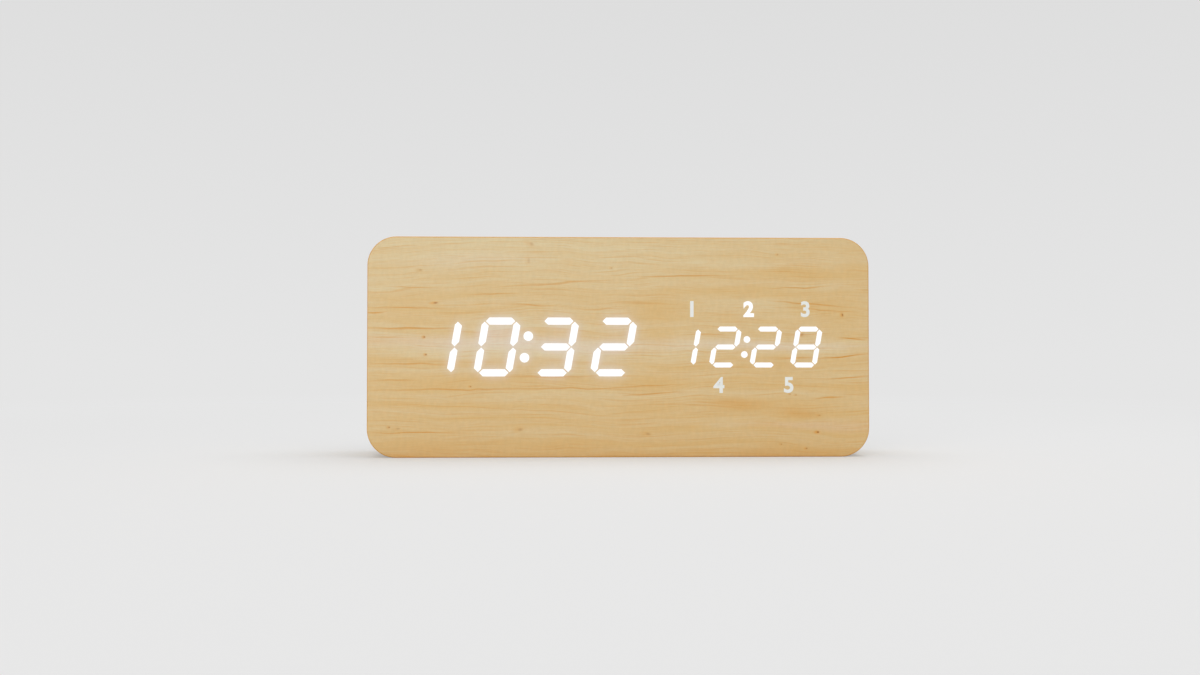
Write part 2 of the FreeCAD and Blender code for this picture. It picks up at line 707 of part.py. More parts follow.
def board_header():
    """Long pin header that carries power and data between the two boards."""
    piece = body("board_header", x="layout.board_x", z="layout.mid_z + layout.header_z")
    strip = sketch(piece, y="layout.display_y")
    rectangle(strip, "sizes.header_length", "sizes.header_width")
    pad(piece, strip, "sizes.header_tall")
    pin = sketch(piece, y="layout.display_y + sizes.header_tall",
                 x="-sizes.pin_pitch * %d / 2" % (HEADER_PINS - 1))
    rectangle(pin, "sizes.pin_side", "sizes.pin_side")
    pins = pad(piece, pin, "layout.board_front_y - sizes.pin_end_gap - sizes.header_tall"
               " - layout.display_y")
    repeat(piece, [pins], ("X_Axis", "sizes.pin_pitch", HEADER_PINS))


def board_socket():
    """Pin socket on the front of the control board."""
    piece = body("board_socket", x="layout.board_x", z="layout.mid_z + layout.header_z")
    block = sketch(piece, y="layout.board_front_y")
    rectangle(block, "sizes.header_length", "sizes.header_width")
    pad(piece, block, "layout.socket_tall", back=False)
    well = sketch(piece, y="layout.socket_mouth_y",
                  x="-sizes.pin_pitch * %d / 2" % (HEADER_PINS - 1))
    rectangle(well, "sizes.pin_side + 2 * sizes.thread_gap", "sizes.pin_side + 2 * sizes.thread_gap")
    wells = pocket(piece, well, "layout.socket_tall - sizes.pin_end_gap + sizes.fit_gap")
    repeat(piece, [wells], ("X_Axis", "sizes.pin_pitch", HEADER_PINS))


# ---------------------------------------------------------------- screws

def screws(name, x, z, y, length, into_back=False, head="sizes.screw_head", steps=()):
    """Pan-head screws seated at depth y, with shanks that run away from the heads."""
    piece = body(name, x=x, z=z)
    seat = sketch(piece, y=y)
    circle(seat, head)
    top = pad(piece, seat, "sizes.screw_head_tall", back=not into_back)
    shank = sketch(piece, y=y)
    circle(shank, "sizes.screw_diameter")
    stem = pad(piece, shank, length, back=into_back)
    parts = [top, stem]
    face = "%s + sizes.screw_head_tall * %d" % (y, -1 if into_back else 1)
    for across, down in (("sizes.cross_length", "sizes.cross_width"),
                         ("sizes.cross_width", "sizes.cross_length")):
        cross = sketch(piece, y=face)
        rectangle(cross, across, down)
        parts.append(pocket(piece, cross, "sizes.cross_depth", back=into_back))
    if steps:
        repeat(piece, parts, *steps)
    return piece, parts


def display_screws():
    """Six screws through the display board and the mask into the front board."""
    screws("display_screws", "-layout.display_screw_x", "layout.mid_z - layout.display_screw_z",
           "layout.display_y", "layout.display_y - layout.panel_y + sizes.screw_bite - sizes.fit_gap",
           steps=DISPLAY_SCREWS)


def cover_screws():
    """Four screws from the back into the posts of the case."""
    screws("cover_screws", "-layout.post_x", "layout.mid_z - layout.post_z", "layout.cover_y",
           "sizes.cover_screw_length", steps=COVER_SCREWS)


def board_screws():
    """Four screws that hold the control board on the cover's columns."""
    screws("board_screws", "layout.board_x - layout.standoff_x",
           "layout.mid_z - layout.standoff_z", "layout.board_front_y",
           "sizes.board_screw_length", into_back=True, steps=BOARD_SCREWS)


# ---------------------------------------------------------------- rear cover

def standoffs(piece, diameter, depth, cut=False):
    """Four round columns, or holes, at the corners of the control board."""
    base = sketch(piece, y="layout.inner_y" if not cut else "layout.board_back_y",
                  x="layout.board_x - layout.standoff_x", z="-layout.standoff_z")
    circle(base, diameter)
    made = pocket(piece, base, depth) if cut else pad(piece, base, depth, back=False)
    repeat(piece, [made], *BOARD_SCREWS)


def rear_cover():
    """Moulded cover with the battery bay, grille, standoffs and openings."""
    piece = body("rear_cover", z="layout.mid_z")
    plate = sketch(piece, y="layout.inner_y")
    rounded(plate, "layout.cover_wide", "layout.cover_tall", "sizes.corner_radius - sizes.rim_width")
    slab = pad(piece, plate, "sizes.cover_thickness")
    round_edges(piece, slab, "sizes.cover_edge_round", "layout.cover_y")
    # Battery bay: a tray, and a shelf under the door's track.
    tray = sketch(piece, y="layout.inner_y", x="layout.bay_x")
    rectangle(tray, "layout.bay_wide + 2 * sizes.bay_wall", "layout.bay_tall + 2 * sizes.bay_wall")
    pad(piece, tray, "layout.inner_y - layout.bay_floor_y + sizes.bay_wall", back=False)
    shelf = sketch(piece, y="layout.inner_y", x="layout.track_x")
    rectangle(shelf, "layout.track_wide + 2 * sizes.bay_wall",
              "layout.track_tall + 2 * sizes.bay_wall")
    pad(piece, shelf, "sizes.bay_wall", back=False)
    bay = sketch(piece, y="layout.inner_y", x="layout.bay_x")
    rectangle(bay, "layout.bay_wide", "layout.bay_tall")
    pocket(piece, bay, "layout.inner_y - layout.bay_floor_y", back=False)
    track = sketch(piece, y="layout.door_y + sizes.door_play", x="layout.track_x")
    rectangle(track, "layout.track_wide", "layout.track_tall")
    pocket(piece, track, "layout.door_y + sizes.door_play - layout.inner_y", back=False)
    opening = sketch(piece, y="layout.cover_y", x="layout.track_x")
    rectangle(opening, "layout.track_wide", "layout.door_tall + 2 * sizes.fit_gap")
    pocket(piece, opening, "sizes.cover_thickness", back=False)
    notch = sketch(piece, y="layout.cover_y",
                   x="layout.bay_x + sizes.door_travel - layout.tongue_x")
    rectangle(notch, "sizes.tongue_length + 2 * sizes.fit_gap", "layout.track_tall")
    notches = pocket(piece, notch, "sizes.cover_thickness", back=False)
    repeat(piece, [notches], ("X_Axis", "2 * layout.tongue_x", 2))
    # Openings for the sound, the buttons, the switch and the power plug.
    centre = sketch(piece, y="layout.cover_y", x="layout.speaker_x")
    circle(centre, "sizes.grille_hole")
    pocket(piece, centre, "sizes.cover_thickness", back=False)
    for ring, count in enumerate(GRILLE_RINGS, start=1):
        hub = sketch(piece, y="layout.cover_y", x="layout.speaker_x")
        circle(hub, "sizes.grille_hole", "sizes.grille_ring * %d" % ring)
        hole = pocket(piece, hub, "sizes.cover_thickness", back=False)
        around(piece, hole, hub, count)
    button = sketch(piece, y="layout.cover_y", z="sizes.button_row",
                    x="layout.board_x + layout.buttons_x")
    circle(button, "sizes.button_diameter + 2 * sizes.button_gap")
    buttons = pocket(piece, button, "sizes.cover_thickness", back=False)
    repeat(piece, [buttons], ("X_Axis", "sizes.button_pitch", len(BUTTONS)))
    slot = sketch(piece, y="layout.cover_y", z="-sizes.lower_row", x="layout.slider_x")
    rectangle(slot, "sizes.slider_length + sizes.slider_travel + 2 * sizes.fit_gap",
              "sizes.slider_width + 2 * sizes.fit_gap")
    pocket(piece, slot, "sizes.cover_thickness", back=False)
    plug = sketch(piece, y="layout.cover_y", z="-sizes.lower_row", x="layout.power_x")
    rounded(plug, "sizes.plug_width", "sizes.plug_height", "sizes.plug_radius")
    pocket(piece, plug, "sizes.cover_thickness", back=False)
    # Screw holes and columns.
    hole = sketch(piece, y="layout.cover_y", x="-layout.post_x", z="-layout.post_z")
    circle(hole, "sizes.screw_diameter + 2 * sizes.fit_gap")
    holes = pocket(piece, hole, "sizes.cover_thickness", back=False)
    repeat(piece, [holes], *COVER_SCREWS)
    standoffs(piece, "sizes.standoff_diameter", "sizes.board_standoff")
    standoffs(piece, "sizes.screw_diameter + 2 * sizes.thread_gap", "sizes.board_standoff", cut=True)
    hub = sketch(piece, y="layout.inner_y", x="layout.speaker_x")
    circle(hub, "layout.speaker_column", "0", "layout.speaker_screw_r")
    column = pad(piece, hub, "layout.inner_y - layout.basket_y", back=False)
    around(piece, column, hub, SPEAKER_SCREWS)
    hub = sketch(piece, y="layout.basket_y", x="layout.speaker_x")
    circle(hub, "sizes.screw_diameter + 2 * sizes.thread_gap", "0", "layout.speaker_screw_r")
    pilot = pocket(piece, hub, "layout.speaker_screw_length")
    around(piece, pilot, hub, SPEAKER_SCREWS)
    # Holes for the battery leads in the end wall of the bay.
    for side in (-1, 1):
        way = end_sketch(piece, "layout.bay_x - layout.bay_wide / 2", "layout.lead_y",
                         "layout.cell_z * %d" % side)
        circle(way, "sizes.lead_diameter + 2 * sizes.thread_gap")
        pocket(piece, way, "sizes.bay_wall")


def battery_door():
    """Sliding lid with four tongues that run under the lips of the track."""
    piece = body("battery_door", x="layout.bay_x", z="layout.mid_z")
    plate = sketch(piece, y="layout.door_y")
    rectangle(plate, "layout.door_wide", "layout.door_tall")
    pad(piece, plate, "sizes.door_plate")
    tongue = sketch(piece, y="layout.door_y", x="-layout.tongue_x")
    reach = "(layout.door_tall / 2 + sizes.tongue_reach - layout.bay_tall / 2)"
    for side in (-1, 1):
        rectangle(tongue, "sizes.tongue_length", reach, "0",
                  "(layout.bay_tall / 2 + %s / 2) * %d" % (reach, side))
    tongues = pad(piece, tongue, "layout.tongue_thick", back=False)
    repeat(piece, [tongues], ("X_Axis", "2 * layout.tongue_x", 2))
    rib = sketch(piece, y="layout.cover_y", x="-layout.tongue_x")
    rectangle(rib, "sizes.grip_rib", "layout.bay_tall / 2")
    ribs = pad(piece, rib, "sizes.grip_rib_tall")
    repeat(piece, [ribs], ("X_Axis", "sizes.grip_pitch", GRIP_RIBS))


def battery_cells():
    """Slim cells side by side in the bay."""
    piece = body("battery_cells", x="layout.bay_x - sizes.cell_nub_tall / 2",
                 z="layout.mid_z - layout.cell_z")
    profile = sketch(piece, plane="XY_Plane")
    half = "sizes.cell_length / 2"
    end = half + " + sizes.cell_nub_tall"
    radius, nub = "sizes.cell_diameter / 2", "sizes.cell_nub / 2"
    axis = "layout.cell_y"
    outline(profile, [
        ("-(%s)" % half, axis), (end, axis), (end, "%s - %s" % (axis, nub)),
        (half, "%s - %s" % (axis, nub)), (half, "%s - %s" % (axis, radius)),
        ("-(%s)" % half, "%s - %s" % (axis, radius))])
    cell = piece.newObject("PartDesign::Revolution", "battery_cells_turned")
    cell.Profile = profile
    cell.ReferenceAxis = (profile, ["Edge1"])
    cell.Angle = 360
    repeat(piece, [cell], ("Z_Axis", "layout.cell_z", CELLS))


def battery_contacts():
    """Leaf contacts at both ends of each cell, bowed towards it."""
    piece = body("battery_contacts", x="layout.bay_x", z="layout.mid_z - layout.cell_z")
    for side in (-1, 1):
        leaf = sketch(piece, plane="XY_Plane")
        wall = "layout.bay_wide / 2 * %d" % side
        inner = "(layout.bay_wide / 2 - sizes.contact_thickness) * %d" % side
        bow = "(layout.bay_wide / 2 - sizes.contact_room + sizes.cell_gap) * %d" % side
        crest = "%s + sizes.contact_thickness * %d" % (bow, side)
        foot = "layout.cell_y - sizes.contact_width / 2"
        tail = "layout.cell_y + sizes.contact_width / 2"
        outline(leaf, [
            (wall, foot), (wall, tail), (inner, tail), (crest, "layout.cell_y + sizes.thread_gap"),
            (bow, "layout.cell_y"), (inner, "%s + sizes.contact_thickness" % foot), (inner, foot)])
        made = piece.newObject("PartDesign::Pad", "battery_contacts_pad")
        made.Profile = leaf
        made.setExpression("Length", "sizes.contact_width")
        made.Midplane = True
        repeat(piece, [made], ("Z_Axis", "layout.cell_z", CELLS))


# ---------------------------------------------------------------- speaker

def speaker_gasket():
    """Foam ring between the speaker and the cover."""
    piece = body("speaker_gasket", x="layout.speaker_x", z="layout.mid_z")
    ring = sketch(piece, y="layout.gasket_y")
    circle(ring, "sizes.speaker_diameter")
    circle(ring, "sizes.cone_mouth + sizes.cone_paper")
    pad(piece, ring, "sizes.gasket_thickness")


def speaker_basket():
    """Pressed frame: a flange, a tapered wall and a flat back."""
    piece = body("speaker_basket", x="layout.speaker_x", z="layout.mid_z")
    mouth, back = "sizes.cone_mouth / 2 + sizes.cone_paper", "sizes.basket_back / 2"
    wall = "sizes.basket_wall"
    profile = sketch(piece, plane="XY_Plane")
    outline(profile, [
        ("0", "layout.throat_y - %s" % wall), (back, "layout.throat_y - %s" % wall),
        ("%s + %s" % (mouth, wall), "layout.basket_y"),
        ("sizes.speaker_diameter / 2", "layout.basket_y"),
        ("sizes.speaker_diameter / 2", "layout.gasket_y"),
        (mouth, "layout.gasket_y"), (mouth, "layout.basket_y"),
        ("%s - %s" % (back, wall), "layout.throat_y"), ("0", "layout.throat_y")])
    turned(piece, profile)


def speaker_magnet():
    """Ring magnet on the back of the basket."""
    piece = body("speaker_magnet", x="layout.speaker_x", z="layout.mid_z")
    disc = sketch(piece, y="layout.throat_y - sizes.basket_wall")
    circle(disc, "sizes.magnet_diameter")
    pad(piece, disc, "sizes.magnet_thickness", back=False)


def speaker_cone():
    """Paper cone with a dust cap, glued inside the flange."""
    piece = body("speaker_cone", x="layout.speaker_x", z="layout.mid_z")
    paper, throat = "sizes.cone_paper", "layout.gasket_y - sizes.cone_depth"
    rim = "sizes.cone_mouth / 2 + %s - sizes.thread_gap" % paper
    profile = sketch(piece, plane="XY_Plane")
    outline(profile, [
        ("0", throat), ("sizes.cone_throat / 2", throat),
        ("sizes.cone_mouth / 2", "layout.gasket_y - %s" % paper),
        (rim, "layout.gasket_y - %s" % paper), (rim, "layout.gasket_y"),
        ("sizes.cone_mouth / 2 - %s" % paper, "layout.gasket_y"),
        ("sizes.cone_throat / 2", "%s + %s" % (throat, paper)),
        ("0", "%s + 2 * %s" % (throat, paper))])
    turned(piece, profile)


def speaker_screws():
    """Three wide-headed screws that clamp the rim of the speaker."""
    piece, parts = screws("speaker_screws", "layout.speaker_x", "layout.mid_z", "layout.basket_y",
                          "layout.speaker_screw_length - sizes.fit_gap", into_back=True,
                          head="sizes.washer_head")
    for drawing in (part.Profile[0] for part in parts):
        drawing.setExpression("AttachmentOffset.Base.y", "layout.speaker_screw_r")
    ring = piece.newObject("PartDesign::PolarPattern", "speaker_screws_ring")
    ring.Originals = parts
    ring.Axis = (datum(piece, "Y_Axis"), [""])
    ring.Angle = 360
    ring.Occurrences = SPEAKER_SCREWS
    piece.Tip = ring


def grille_cloth():
    """Thin dust cloth behind the grille holes."""
    piece = body("grille_cloth", x="layout.speaker_x", z="layout.mid_z")
    disc = sketch(piece, y="layout.inner_y")
    circle(disc, "sizes.cone_mouth")
    pad(piece, disc, "sizes.grille_cloth", back=False)


def speaker_terminals():
    """Tag strip on the speaker's rim where its leads are soldered."""
    piece = body("speaker_terminals", z="layout.mid_z",
                 x="layout.speaker_x + (sizes.speaker_diameter - sizes.terminal_wide) / 2")
    tag = sketch(piece, y="layout.basket_y")
    rectangle(tag, "sizes.terminal_wide", "sizes.terminal_tall")
    pad(piece, tag, "sizes.terminal_deep", back=False)


def leads(name, start, length, spacing):
    """Two straight leads along X from start."""
    piece = body(name, z="layout.mid_z")
    wire = end_sketch(piece, start, "layout.lead_y", "-(%s) / 2" % spacing)
    circle(wire, "sizes.lead_diameter")
    wires = pad(piece, wire, length, back=False)
    repeat(piece, [wires], ("Z_Axis", spacing, 2))


def speaker_leads():
    """Speaker leads, from the tag strip to their plug."""
    start = "layout.speaker_x + sizes.speaker_diameter / 2"
    leads("speaker_leads", start,
          "layout.board_x - layout.plug_edge_x - sizes.lead_plug_depth / 2 - (%s)" % start,
          "sizes.lead_pitch")


def battery_leads():
    """Battery leads, from their plugs to the contacts of the outer cells."""
    start = "layout.board_x + layout.plug_edge_x + sizes.lead_plug_depth / 2"
    leads("battery_leads", start, "layout.bay_x - layout.bay_wide / 2 - (%s)" % start,
          "2 * layout.cell_z")


# ---------------------------------------------------------------- control board

def control_board():
    """Circuit board on the cover's columns, with the keys and the power socket."""
    piece = body("control_board", x="layout.board_x", z="layout.mid_z")
    face = sketch(piece, y="layout.board_front_y")
    rectangle(face, "layout.board_wide", "layout.board_tall")
    pad(piece, face, "sizes.board_thickness")
    hole = sketch(piece, y="layout.board_front_y", x="-layout.standoff_x", z="-layout.standoff_z")
    circle(hole, "sizes.screw_diameter + 2 * sizes.fit_gap")
    holes = pocket(piece, hole, "sizes.board_thickness")
    repeat(piece, [holes], *BOARD_SCREWS)


def board_block(name, x, z, wide, tall, deep, back=True):
    """A plain block that stands on the back or the front of the control board."""
    piece = body(name, x="layout.board_x + %s" % x, z="layout.mid_z + %s" % z)
    foot = sketch(piece, y="layout.board_back_y" if back else "layout.board_front_y")
    rectangle(foot, wide, tall)
    return piece, pad(piece, foot, deep, back=back)


def lead_plugs():
    """Plugs for the speaker leads and for the two battery leads."""
    board_block("speaker_plug", "-layout.plug_edge_x", "0", "sizes.lead_plug_depth",
                "sizes.lead_plug_width", "sizes.lead_plug_tall")
    piece, block = board_block("battery_plugs", "layout.plug_edge_x", "(-layout.cell_z)",
                               "sizes.lead_plug_depth", "sizes.lead_plug_depth",
                               "sizes.lead_plug_tall")
    repeat(piece, [block], ("Z_Axis", "2 * layout.cell_z", 2))


def capacitors():
    """Two round capacitors on the front of the control board."""
    piece = body("capacitors", x="layout.board_x - sizes.lower_spread",
                 z="layout.mid_z - sizes.lower_row / 2")
    can = sketch(piece, y="layout.board_front_y")
    circle(can, "sizes.capacitor_diameter")
    cans = pad(piece, can, "sizes.capacitor_tall", back=False)
    repeat(piece, [cans], ("X_Axis", "2 * sizes.capacitor_diameter", 2))


def clock_crystal():
    """Small can that lies on the board and keeps the time."""
    piece = body("clock_crystal", x="layout.board_x + sizes.crystal_shift", z="layout.mid_z")
    can = sketch(piece, plane="XY_Plane")
    circle(can, "sizes.crystal_diameter", "0", "layout.board_back_y + sizes.crystal_diameter / 2")
    made = piece.newObject("PartDesign::Pad", "clock_crystal_pad")
    made.Profile = can
    made.setExpression("Length", "sizes.crystal_length")
    made.Midplane = True


def power_socket():
    """Metal shell of the power socket, upright on the board, with its tongue."""
    piece = body("power_socket", x="layout.power_x", z="layout.mid_z - sizes.lower_row")
    shell = sketch(piece, y="layout.board_back_y")
    rounded(shell, "sizes.socket_width", "sizes.socket_height", "sizes.socket_radius")
    pad(piece, shell, "layout.power_y - layout.board_back_y")
    mouth = sketch(piece, y="layout.power_y")
    rounded(mouth, "sizes.socket_width - 2 * sizes.socket_shell",
            "sizes.socket_height - 2 * sizes.socket_shell",
            "sizes.socket_radius - sizes.socket_shell")
    pocket(piece, mouth, "sizes.socket_depth", back=False)
    tongue = body("socket_tongue", x="layout.power_x", z="layout.mid_z - sizes.lower_row")
    blade = sketch(tongue, y="layout.power_y - sizes.socket_depth")
    rectangle(blade, "sizes.tongue_width", "sizes.tongue_height")
    pad(tongue, blade, "sizes.socket_depth - sizes.tongue_setback")


# ---------------------------------------------------------------- buttons and switch

def key_switches():
    """Key switch bodies in a row on the board, each with a round well."""
    piece, block = board_block("key_switches", "layout.buttons_x", "sizes.button_row",
                               "sizes.tact_side", "sizes.tact_side", "sizes.tact_tall")
    well = sketch(piece, y="layout.tact_y")
    circle(well, "sizes.stem_diameter + 2 * sizes.button_gap")
    cut = pocket(piece, well, "sizes.stem_inside + sizes.button_travel + sizes.fit_gap", back=False)
    repeat(piece, [block, cut], ("X_Axis", "sizes.button_pitch", len(BUTTONS)))


def push_button(index, name):
    """A flanged button cap and the switch stem that it presses."""
    x = "layout.board_x + layout.buttons_x + sizes.button_pitch * %d" % index
    z = "layout.mid_z + sizes.button_row"
    stem = body(name + "_stem", x=x, z=z)
    rod = sketch(stem, y="layout.tact_y - sizes.stem_inside")
    circle(rod, "sizes.stem_diameter")
    pad(stem, rod, "sizes.stem_inside + sizes.stem_tall")
    cap = body(name + "_button", x=x, z=z)
    face = sketch(cap, y="layout.stem_y")
    circle(face, "sizes.button_diameter")
    column = pad(cap, face, "layout.button_y - layout.stem_y")
    round_edges(cap, column, "sizes.button_round", "layout.button_y")
    collar = sketch(cap, y="layout.button_flange_y")
    circle(collar, "sizes.button_diameter + 2 * sizes.button_flange")
    pad(cap, collar, "sizes.button_flange_tall", back=False)


def sound_switch():
    """Slide switch body with a covered channel, and the slider that runs in it."""
    piece, block = board_block("sound_switch", "(-sizes.lower_spread)", "(-sizes.lower_row)",
                               "sizes.slider_body_length", "sizes.slider_body_width",
                               "sizes.slider_body_tall")
    shift = "sizes.slider_travel / 2"
    foot = "sizes.slider_length + 2 * sizes.slider_foot"
    channel = sketch(piece, y="layout.slider_y - sizes.slider_lid")
    rectangle(channel, foot + " + sizes.slider_travel + 2 * sizes.fit_gap",
              "sizes.slider_width + 4 * sizes.fit_gap")
    pocket(piece, channel, "sizes.slider_foot_tall + 2 * sizes.fit_gap", back=False)
    slot = sketch(piece, y="layout.slider_y")
    rectangle(slot, "sizes.slider_length + sizes.slider_travel + 2 * sizes.fit_gap",
              "sizes.slider_width + 2 * sizes.fit_gap")
    pocket(piece, slot, "sizes.slider_lid", back=False)
    knob = body("sound_slider", x="layout.slider_x - %s" % shift, z="layout.mid_z - sizes.lower_row")
    sole = sketch(knob, y="layout.slider_y - sizes.slider_lid - sizes.fit_gap")
    rectangle(sole, foot, "sizes.slider_width + 2 * sizes.fit_gap")
    pad(knob, sole, "sizes.slider_foot_tall", back=False)
    post = sketch(knob, y="layout.slider_y - sizes.slider_lid - sizes.fit_gap")
    rectangle(post, "sizes.slider_length", "sizes.slider_width")
    pad(knob, post, "layout.cover_y + sizes.slider_proud - layout.slider_y"
        " + sizes.slider_lid + sizes.fit_gap")


# ---------------------------------------------------------------- the whole clock

for build in (front_veneer, side_wrap, case_core, diffuser_film, light_mask, display_board,
              display_leds, board_header, board_socket, display_screws, rear_cover, cover_screws,
              battery_door, battery_cells, battery_contacts, battery_leads, grille_cloth,
              speaker_gasket, speaker_basket, speaker_magnet, speaker_cone, speaker_screws,
              speaker_terminals, speaker_leads, control_board, board_screws, lead_plugs,
              capacitors, clock_crystal, power_socket, key_switches, sound_switch):
    build()
chip("display_driver", "layout.main_x", "layout.mid_z", "layout.display_y",
     "sizes.driver_length", "sizes.driver_width", DRIVER_LEGS)
chip("processor_chip", "layout.board_x - sizes.processor_shift", "layout.mid_z",
     "layout.board_back_y", "sizes.processor_length", "sizes.processor_width", PROCESSOR_LEGS)
chip("voice_chip", "layout.board_x + sizes.voice_chip_shift", "layout.mid_z",
     "layout.board_back_y", "sizes.voice_chip_length", "sizes.voice_chip_width", VOICE_LEGS)
for index, name in enumerate(BUTTONS):
    push_button(index, name)
doc.recompute()

faults = [item.Label for item in doc.Objects if {"Invalid", "Error"} & set(item.State)]
if faults:
    raise RuntimeError("failed: " + ", ".join(faults))
bodies = [item for item in doc.Objects if item.TypeId == "PartDesign::Body"]
for piece in bodies:
    if piece.Shape.isNull() or not piece.Shape.isValid() or not piece.Shape.Solids:
        raise RuntimeError("bad shape: " + piece.Label)

os.makedirs("parts", exist_ok=True)
for piece in bodies:
    piece.Shape.exportStep("parts/%s.step" % piece.Label)
print("%d pieces, case %.2f x %.2f x %.2f" % (
    len(bodies), value("layout.case_wide"), value("sizes.case_depth"), value("layout.case_tall")))
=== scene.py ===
"""Looks of a wooden desk clock with two lit times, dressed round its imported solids.

Metres, in the frame of the solids: +Z is up, the display faces -Y, and the
origin is at the middle of the base. Sizes below are in millimetres times MM.
"""
import math

import bmesh
import bpy
import numpy as np
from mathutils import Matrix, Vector


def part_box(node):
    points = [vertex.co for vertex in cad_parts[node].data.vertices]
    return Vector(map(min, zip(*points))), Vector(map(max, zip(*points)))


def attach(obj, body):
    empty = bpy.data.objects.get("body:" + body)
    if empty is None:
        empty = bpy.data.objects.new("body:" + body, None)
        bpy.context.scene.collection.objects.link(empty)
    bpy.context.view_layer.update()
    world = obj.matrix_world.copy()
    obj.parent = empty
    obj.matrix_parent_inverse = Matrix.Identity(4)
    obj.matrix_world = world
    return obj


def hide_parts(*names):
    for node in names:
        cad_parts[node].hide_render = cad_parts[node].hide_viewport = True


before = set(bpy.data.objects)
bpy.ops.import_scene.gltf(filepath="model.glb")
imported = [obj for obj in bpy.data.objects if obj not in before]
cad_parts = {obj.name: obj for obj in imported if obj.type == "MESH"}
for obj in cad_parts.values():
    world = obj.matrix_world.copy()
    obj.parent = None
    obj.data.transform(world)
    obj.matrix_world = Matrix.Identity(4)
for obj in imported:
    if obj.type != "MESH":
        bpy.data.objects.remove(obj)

bl_info = {
    "name": "Wooden Desk Clock",
    "version": (1, 0, 0),
    "blender": (4, 5, 0),
    "location": "3D View > Sidebar > Clock",
    "description": "Dresses a wooden desk clock with two lit times",
    "category": "Object",
}

MM = 0.001
SEGMENTS = "abcdefg"              # bars of a digit: clockwise from the top, then the middle
# Bars that are lit for 0 to 9.
LIT = ("abcdef", "bc", "abdeg", "abcdg", "bcfg", "acdfg", "acdefg", "abc", "abcdefg", "abcdfg")
CASE_LOW, CASE_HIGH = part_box("side_wrap")
VENEER_LOW, VENEER_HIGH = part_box("front_veneer")
FRONT_MIDDLE = (VENEER_LOW.z + VENEER_HIGH.z) / 2
COVER_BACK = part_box("rear_cover")[1].y
CORNER_RADIUS = 12.0 * MM         # of the case, seen from the front
LIGHT_DEEP = 0.05 * MM            # thickness of the lit and printed shapes on the face
WELD = 0.001 * MM                 # points closer than this are one point
WAVE_PERIOD = 2 * math.pi / 20    # period of a wave texture at a scale of 1


# ---------------------------------------------------------------- helpers

def linear(colour):
    """An sRGB hex colour such as "#D8B98A" as linear RGBA."""
    parts = [int(colour[at:at + 2], 16) / 255 for at in (1, 3, 5)]
    return (*[part / 12.92 if part <= 0.04045 else ((part + 0.055) / 1.055) ** 2.4
              for part in parts], 1.0)


def live(source):
    """A node's first output that is in use. What isn't a node is given back as it is."""
    if isinstance(source, bpy.types.Node):
        source = next(socket for socket in source.outputs if socket.enabled)
    return source


def add(tree, kind, inputs=None, ramp=None, to=None, **settings):
    """Adds one node with its own settings. An input is a value, or a socket or node to
    link, or a list of these. Its output can be linked on, to a socket."""
    made = tree.nodes.new(kind)
    for name, setting in settings.items():
        setattr(made, name, setting)
    for key, given in (inputs or {}).items():
        for source in map(live, given if isinstance(given, list) else [given]):
            if isinstance(source, bpy.types.NodeSocket):
                tree.links.new(source, made.inputs[key])
            else:
                made.inputs[key].default_value = source
    if ramp:
        stops = made.color_ramp.elements
        while len(stops) < len(ramp):
            stops.new(1.0)
        for stop, (position, colour) in zip(stops, ramp):
            stop.position = position
            stop.color = linear(colour)
    if to:
        tree.links.new(live(made), to)
    return made


def new_material(name, **sockets):
    """A material with one Principled shader, whose plain sockets are set here."""
    material = bpy.data.materials.new(name)
    material.use_nodes = True
    tree = material.node_tree
    shader = tree.nodes["Principled BSDF"]
    for key, setting in sockets.items():
        shader.inputs[key.replace("_", " ")].default_value = setting
    return material, tree, shader


def new_object(name, data):
    """An object at the origin that holds the mesh, lettering, lamp or camera."""
    made = bpy.data.objects.new(name, data)
    bpy.context.scene.collection.objects.link(made)
    return made


def new_mesh(name, points, faces):
    """A plain mesh from its points and faces, with its normals turned outwards."""
    mesh = bpy.data.meshes.new(name)
    mesh.from_pydata(points, [], faces)
    tidy = bmesh.new()
    tidy.from_mesh(mesh)
    bmesh.ops.recalc_face_normals(tidy, faces=tidy.faces)
    tidy.to_mesh(mesh)
    tidy.free()
    return mesh


def turned(name, profile, steps=48):
    """A closed solid turned round the Y axis, from (radius, y) points, tip to tip."""
    points, faces, last = [], [], None
    for radius, y in profile:
        fresh = range(len(points), len(points) + (steps if radius else 1))
        turns = [2 * math.pi * at / steps for at in range(len(fresh))]
        points += [(radius * math.cos(turn), y, radius * math.sin(turn)) for turn in turns]
        if last:
            for at in range(steps):
                ahead = (at + 1) % steps
                faces.append(tuple(dict.fromkeys((
                    last[at % len(last)], last[ahead % len(last)],
                    fresh[ahead % len(fresh)], fresh[at % len(fresh)]))))
        last = fresh
    return new_mesh(name, points, faces)


def plates(name, outlines, low, high):
    """Flat plates with these (x, z) outlines, from one depth to the other."""
    points, faces = [], []
    for outline in outlines:
        start, count = len(points), len(outline)
        points += [(x, y, z) for y in (low, high) for x, z in outline]
        near, far = range(start, start + count), range(start + count, start + 2 * count)
        faces += [tuple(near), tuple(far)]
        faces += [(near[at - 1], near[at], far[at], far[at - 1]) for at in range(count)]
    return new_mesh(name, points, faces)


def bar(x, z, wide, tall):
    """The (x, z) outline of a rectangle about its middle."""
    return [(x + wide / 2 * side, z + tall / 2 * up)
            for side, up in ((-1, -1), (1, -1), (1, 1), (-1, 1))]


def cross(x, z, length, width, turn=0.0):
    """The (x, z) outline of a cross with arms of this length and width."""
    points = []
    for quarter in range(4):
        angle = turn + quarter * math.pi / 2
        for across, up in ((width, length), (-width, length), (-width, width)):
            points.append((x + (across * math.cos(angle) - up * math.sin(angle)) / 2,
                           z + (across * math.sin(angle) + up * math.cos(angle)) / 2))
    return points


